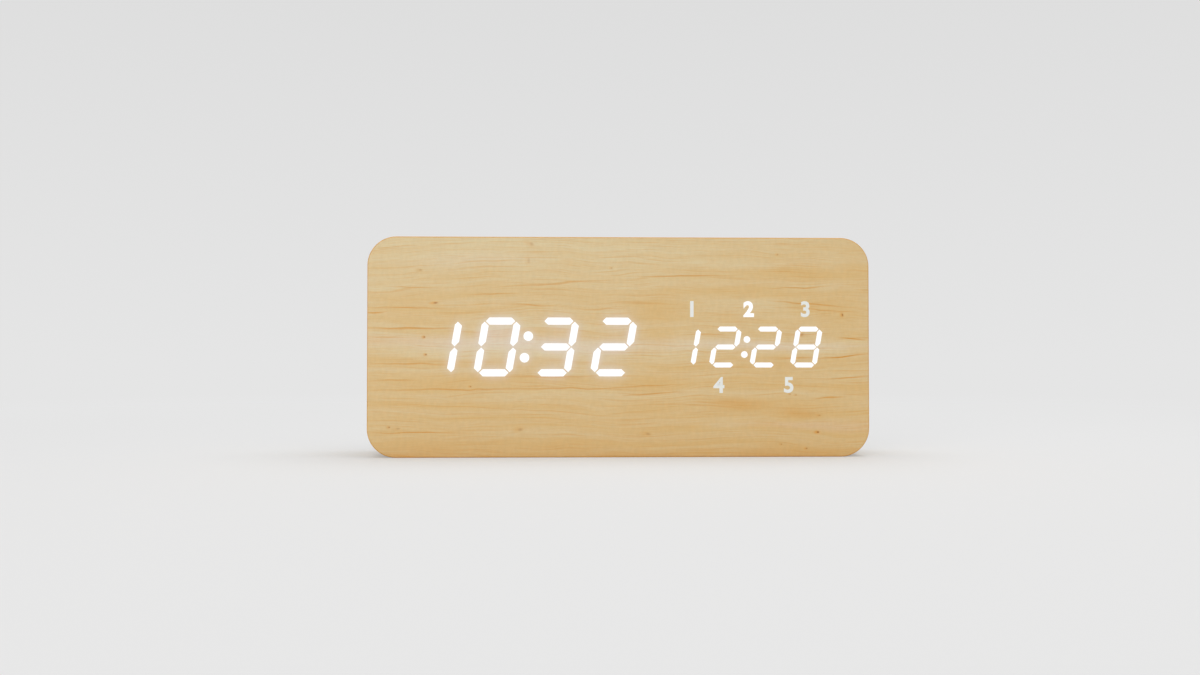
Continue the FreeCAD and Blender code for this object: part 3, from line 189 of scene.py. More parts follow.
def letters(text, weight, tall, place, depths, side=1):
    """Plain upright lettering about the place, as a mesh from the outer depth to the
    inner one. A side of -1 makes it read from behind."""
    curve = bpy.data.curves.new("letters", "FONT")
    # Any extrusion will do, since its two faces are moved to the two depths.
    curve.body, curve.offset, curve.extrude = text, weight, 0.02
    curve.resolution_u = 6
    holder = new_object("letters", curve)
    graph = bpy.context.evaluated_depsgraph_get()
    mesh = bpy.data.meshes.new_from_object(holder.evaluated_get(graph))
    bpy.data.objects.remove(holder)
    where = np.array([tuple(point.co) for point in mesh.vertices])
    low, high = where.min(axis=0), where.max(axis=0)
    size = tall / (high[1] - low[1])
    middle = (low + high) / 2
    for point, (across, up, deep) in zip(mesh.vertices, where):
        point.co = (place[0] + (across - middle[0]) * size * side,
                    depths[0] if deep > middle[2] else depths[1],
                    place[1] + (up - middle[1]) * size)
    return mesh


def lettered(name, texts, material):
    """One piece of all the texts that letters() made, welded and fixed to the case."""
    whole = bmesh.new()
    for mesh in texts:
        whole.from_mesh(mesh)
        bpy.data.meshes.remove(mesh)
    bmesh.ops.remove_doubles(whole, verts=whole.verts, dist=WELD)
    bmesh.ops.recalc_face_normals(whole, faces=whole.faces)
    mesh = bpy.data.meshes.new(name)
    whole.to_mesh(mesh)
    whole.free()
    mesh.materials.append(material)
    seat(new_object(name, mesh), "case", "milky_film")


def soften(piece, angle=35.0):
    """Smooth shading that keeps the edges sharper than the angle, in degrees."""
    piece.data.polygons.foreach_set("use_smooth", [True] * len(piece.data.polygons))
    piece.data.set_sharp_from_angle(angle=math.radians(angle))


def plain(piece):
    """Turns what the piece's modifiers make into its own plain mesh."""
    graph = bpy.context.evaluated_depsgraph_get()
    made = bpy.data.meshes.new_from_object(piece.evaluated_get(graph))
    piece.modifiers.clear()
    piece.data = made
    made.name = piece.name


def seat(piece, body, slot, *nodes):
    """The piece rides on the body and stands for the nodes; the slot is not used."""
    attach(piece, body)
    if nodes:
        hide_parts(*nodes)


def dress(nodes, material):
    """Gives the solids of these names the material."""
    for name in nodes:
        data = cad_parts[name].data
        data.materials.clear()
        data.materials.append(material)


def new_tree(name, *sockets):
    """A geometry node tree with a geometry in and out and the named inputs."""
    tree = bpy.data.node_groups.new(name, "GeometryNodeTree")
    tree.interface.new_socket("Geometry", in_out="OUTPUT", socket_type="NodeSocketGeometry")
    tree.interface.new_socket("Geometry", in_out="INPUT", socket_type="NodeSocketGeometry")
    for label, kind in sockets:
        tree.interface.new_socket(label, in_out="INPUT", socket_type="NodeSocket" + kind)
    return tree, add(tree, "NodeGroupInput")


def grow(piece, tree, **values):
    """Runs the tree on the piece with its inputs set, and keeps the plain mesh."""
    modifier = piece.modifiers.new(tree.name, "NODES")
    modifier.node_group = tree
    for item in tree.interface.items_tree:
        key = item.name.lower().replace(" ", "_")
        if item.in_out == "INPUT" and key in values:
            modifier[item.identifier] = values[key]
    plain(piece)


def grid_tree(name, material):
    """Puts the piece at each place of an upright grid, each turned at random about Y."""
    tree, given = new_tree(
        name, ("Columns", "Int"), ("Rows", "Int"), ("Width", "Float"), ("Height", "Float"),
        ("Largest Turn", "Float"), ("Centre", "Vector"))
    value = given.outputs
    flat = add(tree, "GeometryNodeMeshGrid", {
        "Vertices X": value["Columns"], "Vertices Y": value["Rows"],
        "Size X": value["Width"], "Size Y": value["Height"]})
    upright = add(tree, "GeometryNodeTransform", {
        "Geometry": flat, "Rotation": (math.pi / 2, 0, 0), "Translation": value["Centre"]})
    turn = add(tree, "FunctionNodeRandomValue", {3: value["Largest Turn"], "Seed": 5})
    placed = add(tree, "GeometryNodeInstanceOnPoints", {
        "Points": upright, "Instance": value["Geometry"],
        "Rotation": add(tree, "ShaderNodeCombineXYZ", {1: turn})})
    painted = add(tree, "GeometryNodeSetMaterial", {
        "Geometry": add(tree, "GeometryNodeRealizeInstances", {0: placed}),
        "Material": material})
    add(tree, "NodeGroupOutput", {0: painted})
    return tree


# ---------------------------------------------------------------- finishes
# In a mix of colours socket 0 is the share of the second one, and 6 and 7 are the two.

# Marks of the veneer, in millimetres: along and across the grain, half length,
# half width, turn in degrees and depth of tone.
# Some of these marks are painted light or shade, as noted at their tables.
PALE_PATCHES = (
    (-60, 83, 50, 8, 0, 0.6), (0, 87, 60, 5, 0, 0.35), (-45, 46, 50, 7, 0, 0.85),
    (40, 47, 60, 5, 0, 0.45), (-50, 56, 22, 6, 0, 0.4), (-40, 23, 34, 4, 0, 0.3),
    (-30, 9, 60, 4, 0, 0.25), (88, 46, 20, 6, 0, 0.45), (-38, 78, 24, 5, 0, 0.4),
    (-75, 43, 34, 4, 0, 0.35), (-8, 47, 26, 5, 0, 0.35), (44, 13, 18, 4, 0, 0.35),
    (80, 48, 18, 5, 0, 0.5), (82, 28, 22, 3, 0, 0.2), (-52, 55, 10, 5, 0, 0.5),
)
WARM_BANDS = (
    (-92, 66, 26, 6, 0, 0.6), (-62, 68, 40, 4, 0, 0.6), (-20, 67, 40, 4, 0, 0.45),
    (16, 61, 24, 10, 0, 0.9), (78, 77, 42, 6, 0, 0.9), (85, 63, 26, 8, -4, 0.8),
    (52, 70, 44, 5, -2, 0.6), (-74, 31, 44, 5, 0, 0.8), (-30, 32, 50, 4, 1, 0.8),
    (14, 33, 26, 6, 1, 1.0), (12, 22, 22, 5, 0, 0.7), (62, 21, 34, 5, -2, 0.7),
    (96, 57, 18, 8, 0, 0.6), (58, 36, 40, 4, 0, 0.5), (20, 8, 34, 5, 0, 0.4),
    (-84, 4, 44, 4, 0, 0.9), (78, 3, 44, 4, 0, 1.0), (16, 50, 12, 6, 0, 0.5),
    (-56, 28, 60, 4, 0, 0.7), (70, 21, 42, 5, 0, 0.6), (60, 68, 56, 4, 0, 0.6),
    (-82, 58, 36, 4, 0, 0.6), (30, 78, 36, 4, 0, 0.4), (100, 78, 12, 16, 0, 0.5),
    (82, 18, 24, 4, 0, 0.7), (78, 23, 40, 3, 0, 0.4), (98, 66, 14, 6, 0, 0.4),
    (-52, 33, 16, 4, 0, 0.5), (22, 68, 16, 4, 0, 0.4),
)
# Painted light in the glow colour along the lit rows and in the large 0; the two weak streaks lie far
# from the bars.
PALE_AND_GLOW_STREAKS = (
    (-46, 47.2, 110, 4.4, 0, 0.32), (62, 48.0, 60, 3.6, 0, 0.3), (-60, 81, 46, 4, 0, 0.1),
    (84, 13, 50, 3.4, 0, 0.16), (-52, 51.5, 12, 5, 0, 0.3),
)
# The first three are painted shade along the foot of the face; the last two are stains.
STAINS_AND_FOOT_SHADE = (
    (0, -2, 170, 7, 0, 0.4), (-92, -1, 44, 8, 0, 0.3), (76, -1, 60, 8, 0, 0.3),
    (50, 22, 20, 4, -2, 0.3), (75, 18, 13, 2.8, -3, 0.34),
)
GROWTH_LINES = (
    (-88, 62.3, 22, 0.45, 0, 0.7), (-102, 60.3, 7, 0.4, 0, 0.84), (-86, 53.7, 26, 0.6, 0, 0.8),
    (-86, 70.8, 14, 0.4, 0, 0.49), (-53, 67.7, 15, 0.4, 0, 0.7), (-38, 63.4, 15, 0.4, 0, 0.7),
    (-97, 50.2, 12, 0.4, 0, 0.49), (-87, 39.0, 26, 0.5, 0, 0.7), (-94, 32.0, 14, 0.4, 0, 0.7),
    (-70, 28.2, 48, 0.55, 0, 0.66), (-20, 28.8, 36, 0.5, 1, 0.7), (-85, 10.6, 26, 0.35, 0, 0.98),
    (-26, 72.5, 40, 0.6, 4, 0.49), (-28, 33.5, 34, 0.5, 1, 0.56), (-8, 62.0, 14, 0.4, 0, 0.49),
    (27, 75.8, 30, 0.45, 0, 0.77), (76, 71.0, 18, 0.45, 2, 0.77), (80, 64.0, 24, 0.5, -4, 0.77),
    (86, 61.5, 22, 0.4, -5, 0.56), (98, 49.6, 9, 0.45, -3, 0.91), (38, 51.0, 14, 0.4, 0, 0.56),
    (36, 44.2, 18, 0.4, 0, 0.49), (94, 42.3, 16, 0.5, 5, 1), (74, 41.4, 12, 0.4, 2, 0.56),
    (96, 33.2, 14, 0.45, 2, 0.84), (88, 24.6, 10, 0.45, 3, 0.84), (14, 26.5, 20, 0.5, 4, 0.77),
    (10, 30.0, 24, 0.45, 3, 0.63), (32, 21.5, 26, 0.4, -2, 0.49), (-60, 21.0, 30, 0.4, 0, 0.35),
)
PIN_KNOTS = (
    (-83.0, 78.0, 1.1, 0.7, 0, 0.3), (-76.7, 64.3, 1.3, 0.5, 5, 0.8), (-81.3, 50.1, 0.6, 0.6, 0, 0.8),
    (-80.6, 42.8, 0.55, 0.55, 0, 0.8), (-41.4, 11.6, 1.6, 1.0, 10, 0.35),
    (-95.7, 12.6, 0.6, 0.5, 0, 0.6), (-92.0, 12.1, 1.4, 0.6, 0, 0.3), (-38.0, 82.0, 0.8, 1.8, 0, 0.2),
    (-36.8, 89.0, 1.6, 1.0, -30, 0.25), (-62.1, 29.5, 0.5, 0.5, 0, 0.6), (-3.4, 79.0, 0.5, 0.5, 0, 0.3),
    (93.8, 59.5, 0.55, 0.9, 10, 0.8), (76.6, 51.2, 1.2, 0.8, 20, 0.45), (83.2, 10.3, 0.8, 0.6, 0, 1.0),
    (11.8, 9.7, 1.6, 0.9, -10, 0.32), (66.4, 84.8, 0.5, 0.5, 0, 0.4), (78.4, 3.5, 0.6, 0.5, 0, 0.6),
    (67.8, 5.3, 0.5, 0.4, 0, 0.5), (71.5, 26.2, 0.5, 0.4, 0, 0.45), (74.0, 25.9, 0.5, 0.4, 0, 0.4),
    (83.9, 17.3, 0.8, 0.5, 0, 0.4),
)


def add_marks(tree, wood, grain, marks, colour):
    """Mixes the colour into the wood within soft ovals drawn out along the grain."""
    for along, across, length, width, turn, depth in marks:
        inside = add(tree, "ShaderNodeMapping", {
            "Vector": grain, "Location": (along * MM, across * MM, 0),
            "Rotation": (0, 0, math.radians(turn)), "Scale": (length * MM, width * MM, 1)},
            vector_type="TEXTURE")
        # The gradient falls from 1 in the oval's middle to 0 at its edge.
        fall = add(tree, "ShaderNodeTexGradient", {0: inside},
                   gradient_type="SPHERICAL").outputs[1]
        mask = add(tree, "ShaderNodeMapRange", {"Value": fall, "To Max": depth},
                   interpolation_type="SMOOTHSTEP")
        wood = add(tree, "ShaderNodeMix", {0: mask, 6: wood, 7: colour}, data_type="RGBA")
    return wood


def maple_veneer(name, look, face=False):
    """Rotary-cut maple under matt lacquer: pale, close-grained and almost without
    gloss, with soft honey bands, thin broken growth lines and a few pin knots."""
    # How strongly the fibres, the ripple across them and the painted shade of the rim show.
    fibre_share, fibre_base, ripple_share, rim_shade_share = 0.24, 0.06, 0.045, 0.6
    material, tree, shader = new_material(name, Roughness=0.55, IOR=1.45)
    grain = add(tree, "ShaderNodeUVMap", uv_map="grain")

    def noise(place, along, across, detail, rough, offset):
        # Noise drawn out along the grain, with its size in millimetres.
        return add(tree, "ShaderNodeTexNoise", {
            "Vector": add(tree, "ShaderNodeMapping", {
                "Vector": place, "Location": (offset, offset, 0),
                "Scale": (1 / (along * MM), 1 / (across * MM), 1)}),
            "Scale": 1.0, "Detail": detail, "Roughness": rough}, noise_dimensions="2D")

    def bent(along, across, sway, offset):
        # The grain's own coordinates, made to sway up and down by so many millimetres.
        shift = add(tree, "ShaderNodeMapRange", {
            "Value": noise(grain, along, across, detail=2.0, rough=0.45, offset=offset),
            "From Min": 0.25, "From Max": 0.75, "To Min": -sway * MM, "To Max": sway * MM})
        return add(tree, "ShaderNodeVectorMath", {
            0: grain, 1: add(tree, "ShaderNodeCombineXYZ", {1: shift})}, operation="ADD")

    line = bent(along=60, across=20, sway=2.2, offset=2.3)
    near = bent(along=17, across=9, sway=0.5, offset=6.1)
    bands = add(tree, "ShaderNodeMapRange", {
        "Value": noise(line, along=120, across=4.5, detail=4.0, rough=0.6, offset=3.7),
        "From Min": 0.3, "From Max": 0.7, "To Min": -0.28, "To Max": 0.28})
    honey_share_and_shade = 0.5
    if face:
        # Painted shade: the face is drawn warmer and darker below, where less light falls.
        honey_share_and_shade = add(tree, "ShaderNodeMapRange", {
            "Value": add(tree, "ShaderNodeSeparateXYZ", {0: grain}).outputs["Y"],
            "From Max": 92 * MM, "To Min": 0.85, "To Max": 0.36})
    wood = add(tree, "ShaderNodeMix", {
        0: add(tree, "ShaderNodeMath", {0: bands, 1: honey_share_and_shade}),
        6: look.wood_pale, 7: look.wood_honey}, data_type="RGBA")
    if face:
        wood = add_marks(tree, wood, line, PALE_PATCHES, look.wood_pale)
        wood = add_marks(tree, wood, line, WARM_BANDS, look.wood_honey)
        # Painted light: streaks of the bars' glow, with two weak pale streaks.
        wood = add_marks(tree, wood, line, PALE_AND_GLOW_STREAKS, look.glow)
    growth = add(tree, "ShaderNodeMapRange", {
        "Value": noise(line, along=34, across=0.6, detail=3.0, rough=0.5, offset=1.3),
        "From Min": 0.56, "From Max": 0.77, "To Max": 0.38})
    wood = add(tree, "ShaderNodeMix", {0: growth, 6: wood, 7: look.wood_line},
               data_type="RGBA")
    if face:
        # Painted shade along the foot of the face, then stains and growth lines.
        wood = add_marks(tree, wood, near, STAINS_AND_FOOT_SHADE + GROWTH_LINES, look.wood_line)
        # A stain lies round each knot: longer, wider and paler, and drawn to its left.
        longer, wider, paler, aside = 2.4, 1.9, 0.75, 0.6
        stains = [(along - aside * length, across, longer * length, wider * width, turn,
                   paler * depth) for along, across, length, width, turn, depth in PIN_KNOTS]
        wood = add_marks(tree, wood, grain, stains, look.resin)
        wood = add_marks(tree, wood, grain, PIN_KNOTS, look.wood_knot)
    fibre = add(tree, "ShaderNodeMapRange", {
        "Value": noise(near, along=6, across=0.4, detail=3.0, rough=0.65, offset=9.1),
        "From Min": 0.25, "From Max": 0.75, "To Min": -0.5, "To Max": 0.5})
    ripple = add(tree, "ShaderNodeMapRange", {
        "Value": noise(grain, along=1.6, across=3.0, detail=3.0, rough=0.6, offset=5.3),
        "From Min": 0.3, "From Max": 0.7, "To Min": -0.5, "To Max": 0.5})
    streak = add(tree, "ShaderNodeMath", {0: fibre, 1: fibre_share, 2: fibre_base},
                 operation="MULTIPLY_ADD")
    wood = add(tree, "ShaderNodeMix", {0: streak, 6: wood, 7: look.wood_line},
               data_type="RGBA")
    tone = add(tree, "ShaderNodeMath", {0: ripple, 1: ripple_share, 2: 1.0},
               operation="MULTIPLY_ADD")
    colour = shader.inputs["Base Color"]
    wood = add(tree, "ShaderNodeVectorMath", {0: wood, "Scale": tone}, to=colour,
               operation="SCALE")
    if face:
        # Painted shade darkens the eased edge; painted light pales the wood round the lit bars.
        rim = add(tree, "ShaderNodeAttribute", attribute_name="rim").outputs["Fac"]
        wood = add(tree, "ShaderNodeMix", {
            0: add(tree, "ShaderNodeMath", {0: rim, 1: rim_shade_share}, operation="MULTIPLY"),
            6: wood, 7: look.wood_line}, data_type="RGBA")
        # Painted light: the glow of the bars is mixed into the wood's colour.
        glow = add(tree, "ShaderNodeAttribute", attribute_name="glow").outputs["Fac"]
        add(tree, "ShaderNodeMix", {0: glow, 6: wood, 7: look.glow}, to=colour,
            data_type="RGBA")
    add(tree, "ShaderNodeBump", {"Height": fibre, "Strength": 0.25, "Distance": 0.02 * MM},
        to=shader.inputs["Normal"])
    return material


def grained(name, colour, roughness, grain_mm, relief_mm, tint=0.06, **sockets):
    """A moulded, cast or pressed surface: one colour that drifts a little, with a
    fine all-over grain of the given size and relief."""
    drift_mm, uneven = 14, 0.04
    material, tree, shader = new_material(name, Roughness=roughness, **sockets)
    colour = linear(colour) if isinstance(colour, str) else colour
    place = add(tree, "ShaderNodeTexCoord").outputs["Object"]
    grit, drift = (add(tree, "ShaderNodeTexNoise", {
        "Vector": place, "Scale": 1 / (size * MM), "Detail": 2.0})
        for size in (grain_mm, drift_mm))
    tone = add(tree, "ShaderNodeMapRange", {
        "Value": add(tree, "ShaderNodeMath", {0: grit, 1: drift}),
        "From Min": 0.6, "From Max": 1.4, "To Min": 1 - tint, "To Max": 1 + tint})
    add(tree, "ShaderNodeVectorMath", {0: colour[:3], "Scale": tone},
        to=shader.inputs["Base Color"], operation="SCALE")
    add(tree, "ShaderNodeMapRange", {
        "Value": drift, "From Min": 0.3, "From Max": 0.7,
        "To Min": roughness - uneven, "To Max": roughness + uneven},
        to=shader.inputs["Roughness"])
    add(tree, "ShaderNodeBump", {"Height": grit, "Strength": 0.6, "Distance": relief_mm * MM},
        to=shader.inputs["Normal"])
    return material


def woven_cloth(name, colour, thread_mm):
    """Plain-weave dust cloth: dull, with threads that pass over and under each other."""
    material, tree, shader = new_material(name, Roughness=0.95)
    place = add(tree, "ShaderNodeTexCoord").outputs["Object"]
    warp, weft = (add(tree, "ShaderNodeTexWave", {
        "Vector": place, "Scale": WAVE_PERIOD / (thread_mm * MM), "Distortion": 0.4,
        "Detail Scale": 3.0}, bands_direction=direction).outputs["Fac"] for direction in "XZ")
    over = add(tree, "ShaderNodeMath", {0: warp, 1: weft}, operation="MULTIPLY")
    # Painted shade: near black where the threads dip under each other.
    add(tree, "ShaderNodeMix", {0: over, 6: linear("#0C0C0D"), 7: linear(colour)},
        to=shader.inputs["Base Color"], data_type="RGBA")
    add(tree, "ShaderNodeBump", {"Height": over, "Strength": 0.8, "Distance": 0.1 * MM},
        to=shader.inputs["Normal"])
    return material


def circuit_board(name):
    """Glass-epoxy board under glossy green solder mask: clouded by the weave below it,
    with tinned holes on a 2.54 mm grid in some places."""
    pitch_mm, patch_mm, hole_share = 2.54, 9, 0.24
    material, tree, shader = new_material(name, Roughness=0.28)
    place = add(tree, "ShaderNodeTexCoord").outputs["Object"]
    away = add(tree, "ShaderNodeTexVoronoi", {
        "Vector": place, "Scale": 1 / (pitch_mm * MM), "Randomness": 0.0}).outputs["Distance"]
    area = add(tree, "ShaderNodeTexNoise", {"Vector": place, "Scale": 1 / (patch_mm * MM)})
    limit = add(tree, "ShaderNodeMapRange", {
        "Value": area, "From Min": 0.52, "From Max": 0.54, "To Max": hole_share})
    tinned = add(tree, "ShaderNodeMath", {0: away, 1: limit}, to=shader.inputs["Metallic"],
                 operation="LESS_THAN")
    mask = add(tree, "ShaderNodeValToRGB", {0: area}, ramp=(
        (0.3, "#123F27"), (0.55, "#1D5A38"), (0.6, "#2A7048")))
    add(tree, "ShaderNodeMix", {0: tinned, 6: mask, 7: linear("#C9CACB")},
        to=shader.inputs["Base Color"], data_type="RGBA")
    add(tree, "ShaderNodeBump", {"Height": tinned, "Distance": 0.05 * MM},
        to=shader.inputs["Normal"])
    return material


def jacketed_cells(name, low, high):
    """Slim cells in a glossy shrink sleeve, dark with a copper band at one end; past the
    sleeve the bare ends are nickel-plated steel."""
    bare = 0.035    # length of each bare end, as a share of the cell's
    copper = 0.72   # where the copper band starts
    material, tree, shader = new_material(name, Roughness=0.3)
    place = add(tree, "ShaderNodeTexCoord").outputs["Object"]
    along = add(tree, "ShaderNodeMapRange", {
        "Value": add(tree, "ShaderNodeSeparateXYZ", {0: place}).outputs["X"],
        "From Min": low.x, "From Max": high.x})
    sleeve = add(tree, "ShaderNodeValToRGB", {0: along}, to=shader.inputs["Base Color"], ramp=(
        (0.0, "#CFCBC2"), (bare, "#26282B"), (copper, "#B06A35"), (1 - bare, "#CFCBC2")))
    sleeve.color_ramp.interpolation = "CONSTANT"
    covered = add(tree, "ShaderNodeMath", {0: along, 1: 0.5, 2: 0.5 - bare},
                  operation="COMPARE")
    add(tree, "ShaderNodeMath", {0: 1.0, 1: covered}, to=shader.inputs["Metallic"],
        operation="SUBTRACT")
    wrinkle = add(tree, "ShaderNodeTexNoise", {"Vector": place, "Scale": 1 / (1.5 * MM)})
    add(tree, "ShaderNodeBump", {"Height": wrinkle, "Strength": 0.3, "Distance": 0.01 * MM},
        to=shader.inputs["Normal"])
    return material


def light_white():
    """Veneer lit from behind by a light bar: brighter than anything round it."""
    material, tree, shader = new_material("lit_segment", Roughness=0.5)
    shader.inputs["Base Color"].default_value = linear("#202020")
    shader.inputs["Emission Color"].default_value = linear("#FFFFFF")
    place = add(tree, "ShaderNodeTexCoord").outputs["Object"]
    pith = add(tree, "ShaderNodeTexNoise", {"Vector": place, "Scale": 1 / (0.8 * MM)})
    add(tree, "ShaderNodeMapRange", {"Value": pith, "To Min": 0.98, "To Max": 1.04},
        to=shader.inputs["Emission Strength"])
    return material


# ---------------------------------------------------------------- user settings

class ClockDisplay(bpy.types.PropertyGroup):
    """Times and sizes of the lit display."""
    main_time: bpy.props.IntProperty(
        name="Main Time", description="Hours and minutes of the large digits",
        default=1032, min=0, max=9999)
    small_time: bpy.props.IntProperty(
        name="Small Time", description="Hours and minutes of the small digits",
        default=1228, min=0, max=9999)
    row: bpy.props.FloatProperty(
        name="Row Height", description="From the middle bar to the top bar of a large digit",
        default=10.77 * MM, unit="LENGTH", precision=5)
    bar: bpy.props.FloatProperty(
        name="Bar Offset", description="From the middle of a large digit to its upright bars",
        default=6.6 * MM, unit="LENGTH", precision=5)
    stroke: bpy.props.FloatProperty(
        name="Stroke", description="Width of a bar of a large digit",
        default=3.0 * MM, unit="LENGTH", precision=5)
    gap: bpy.props.FloatProperty(
        name="Gap", description="Dark gap between two bars of a large digit",
        default=0.5 * MM, unit="LENGTH", precision=5)
    bar_lean: bpy.props.FloatProperty(
        name="Bar Lean", description="Lean of the upright bars",
        default=math.radians(10.0), unit="ROTATION")
    row_lean: bpy.props.FloatProperty(
        name="Row Lean", description="Lean of the line through the level bars",
        default=math.radians(7.4), unit="ROTATION")
    pitch: bpy.props.FloatProperty(
        name="Large Pitch", description="Between the centres of two large digits",
        default=24.3 * MM, unit="LENGTH", precision=5)
    small_pitch: bpy.props.FloatProperty(
        name="Small Pitch", description="Between the centres of two small digits",
        default=17.05 * MM, unit="LENGTH", precision=5)
    small_ratio: bpy.props.FloatProperty(
        name="Small Ratio", description="Small digits as a share of the large ones",
        default=0.7, subtype="FACTOR")
    main_x: bpy.props.FloatProperty(
        name="Large Place", description="Middle of the large digits across the front",
        default=-38.95 * MM, unit="LENGTH", precision=5)
    small_x: bpy.props.FloatProperty(
        name="Small Place", description="Middle of the small digits across the front",
        default=52.82 * MM, unit="LENGTH", precision=5)
    label_row: bpy.props.FloatProperty(
        name="Numeral Row", description="From the small digits' middle to a row of numerals",
        default=15.9 * MM, unit="LENGTH", precision=5)
    label_tall: bpy.props.FloatProperty(
        name="Numeral Height", description="Height of the numerals of the rows",
        default=6.7 * MM, unit="LENGTH", precision=5)


class ClockLook(bpy.types.PropertyGroup):
    """Colours of the clock."""
    wood_pale: bpy.props.FloatVectorProperty(
        name="Pale Wood", description="Lightest bands of the veneer", size=4,
        subtype="COLOR", default=linear("#DFCFA7"), min=0, max=1)
    wood_honey: bpy.props.FloatVectorProperty(
        name="Honey Wood", description="Warm bands of the veneer", size=4,
        subtype="COLOR", default=linear("#DBB87C"), min=0, max=1)
    wood_line: bpy.props.FloatVectorProperty(
        name="Growth Line", description="Thin darker lines of the veneer", size=4,
        subtype="COLOR", default=linear("#D28F24"), min=0, max=1)
    wood_knot: bpy.props.FloatVectorProperty(
        name="Pin Knot", description="Small knots of the veneer", size=4,
        subtype="COLOR", default=linear("#9A5418"), min=0, max=1)
    resin: bpy.props.FloatVectorProperty(
        name="Resin Stain", description="Orange stain in the wood round a knot", size=4,
        subtype="COLOR", default=linear("#DA9416"), min=0, max=1)
    # Painted light: the colour painted into the wood round the lit bars as their glow; the glow streaks
    # take it too.
    glow: bpy.props.FloatVectorProperty(
        name="Glow", description="Washed-out wood close to a lit bar", size=4,
        subtype="COLOR", default=linear("#E8DEDB"), min=0, max=1)
    plastic: bpy.props.FloatVectorProperty(
        name="Cover Plastic", description="Moulded cover and door at the back", size=4,
        subtype="COLOR", default=linear("#2B2B2D"), min=0, max=1)


class ClockStage(bpy.types.PropertyGroup):
    """Camera, lamps and floor."""
    camera_place: bpy.props.FloatVectorProperty(
        name="Camera Place", description="Where the camera stands", subtype="TRANSLATION",
        default=(-24.4 * MM, -506.8 * MM, 40.2 * MM), precision=5)
    camera_pitch: bpy.props.FloatProperty(
        name="Camera Pitch", description="Tilt above the level", unit="ROTATION",
        default=math.radians(1.146))
    camera_yaw: bpy.props.FloatProperty(
        name="Camera Yaw", description="Turn to the right", unit="ROTATION",
        default=math.radians(1.898))
    camera_lens: bpy.props.FloatProperty(
        name="Lens", description="Focal length on a 36 mm sensor, in millimetres", default=35.0)
    sky: bpy.props.FloatProperty(
        name="Room Light", description="Strength of the even light from all round", default=0.48)
    key_power: bpy.props.FloatProperty(
        name="Key Power", description="Power of the soft lamp above, in watts", default=10.7)
    fill_power: bpy.props.FloatProperty(
        name="Fill Power", description="Power of the soft lamp in front, in watts", default=8.0)


# ---------------------------------------------------------------- wooden case

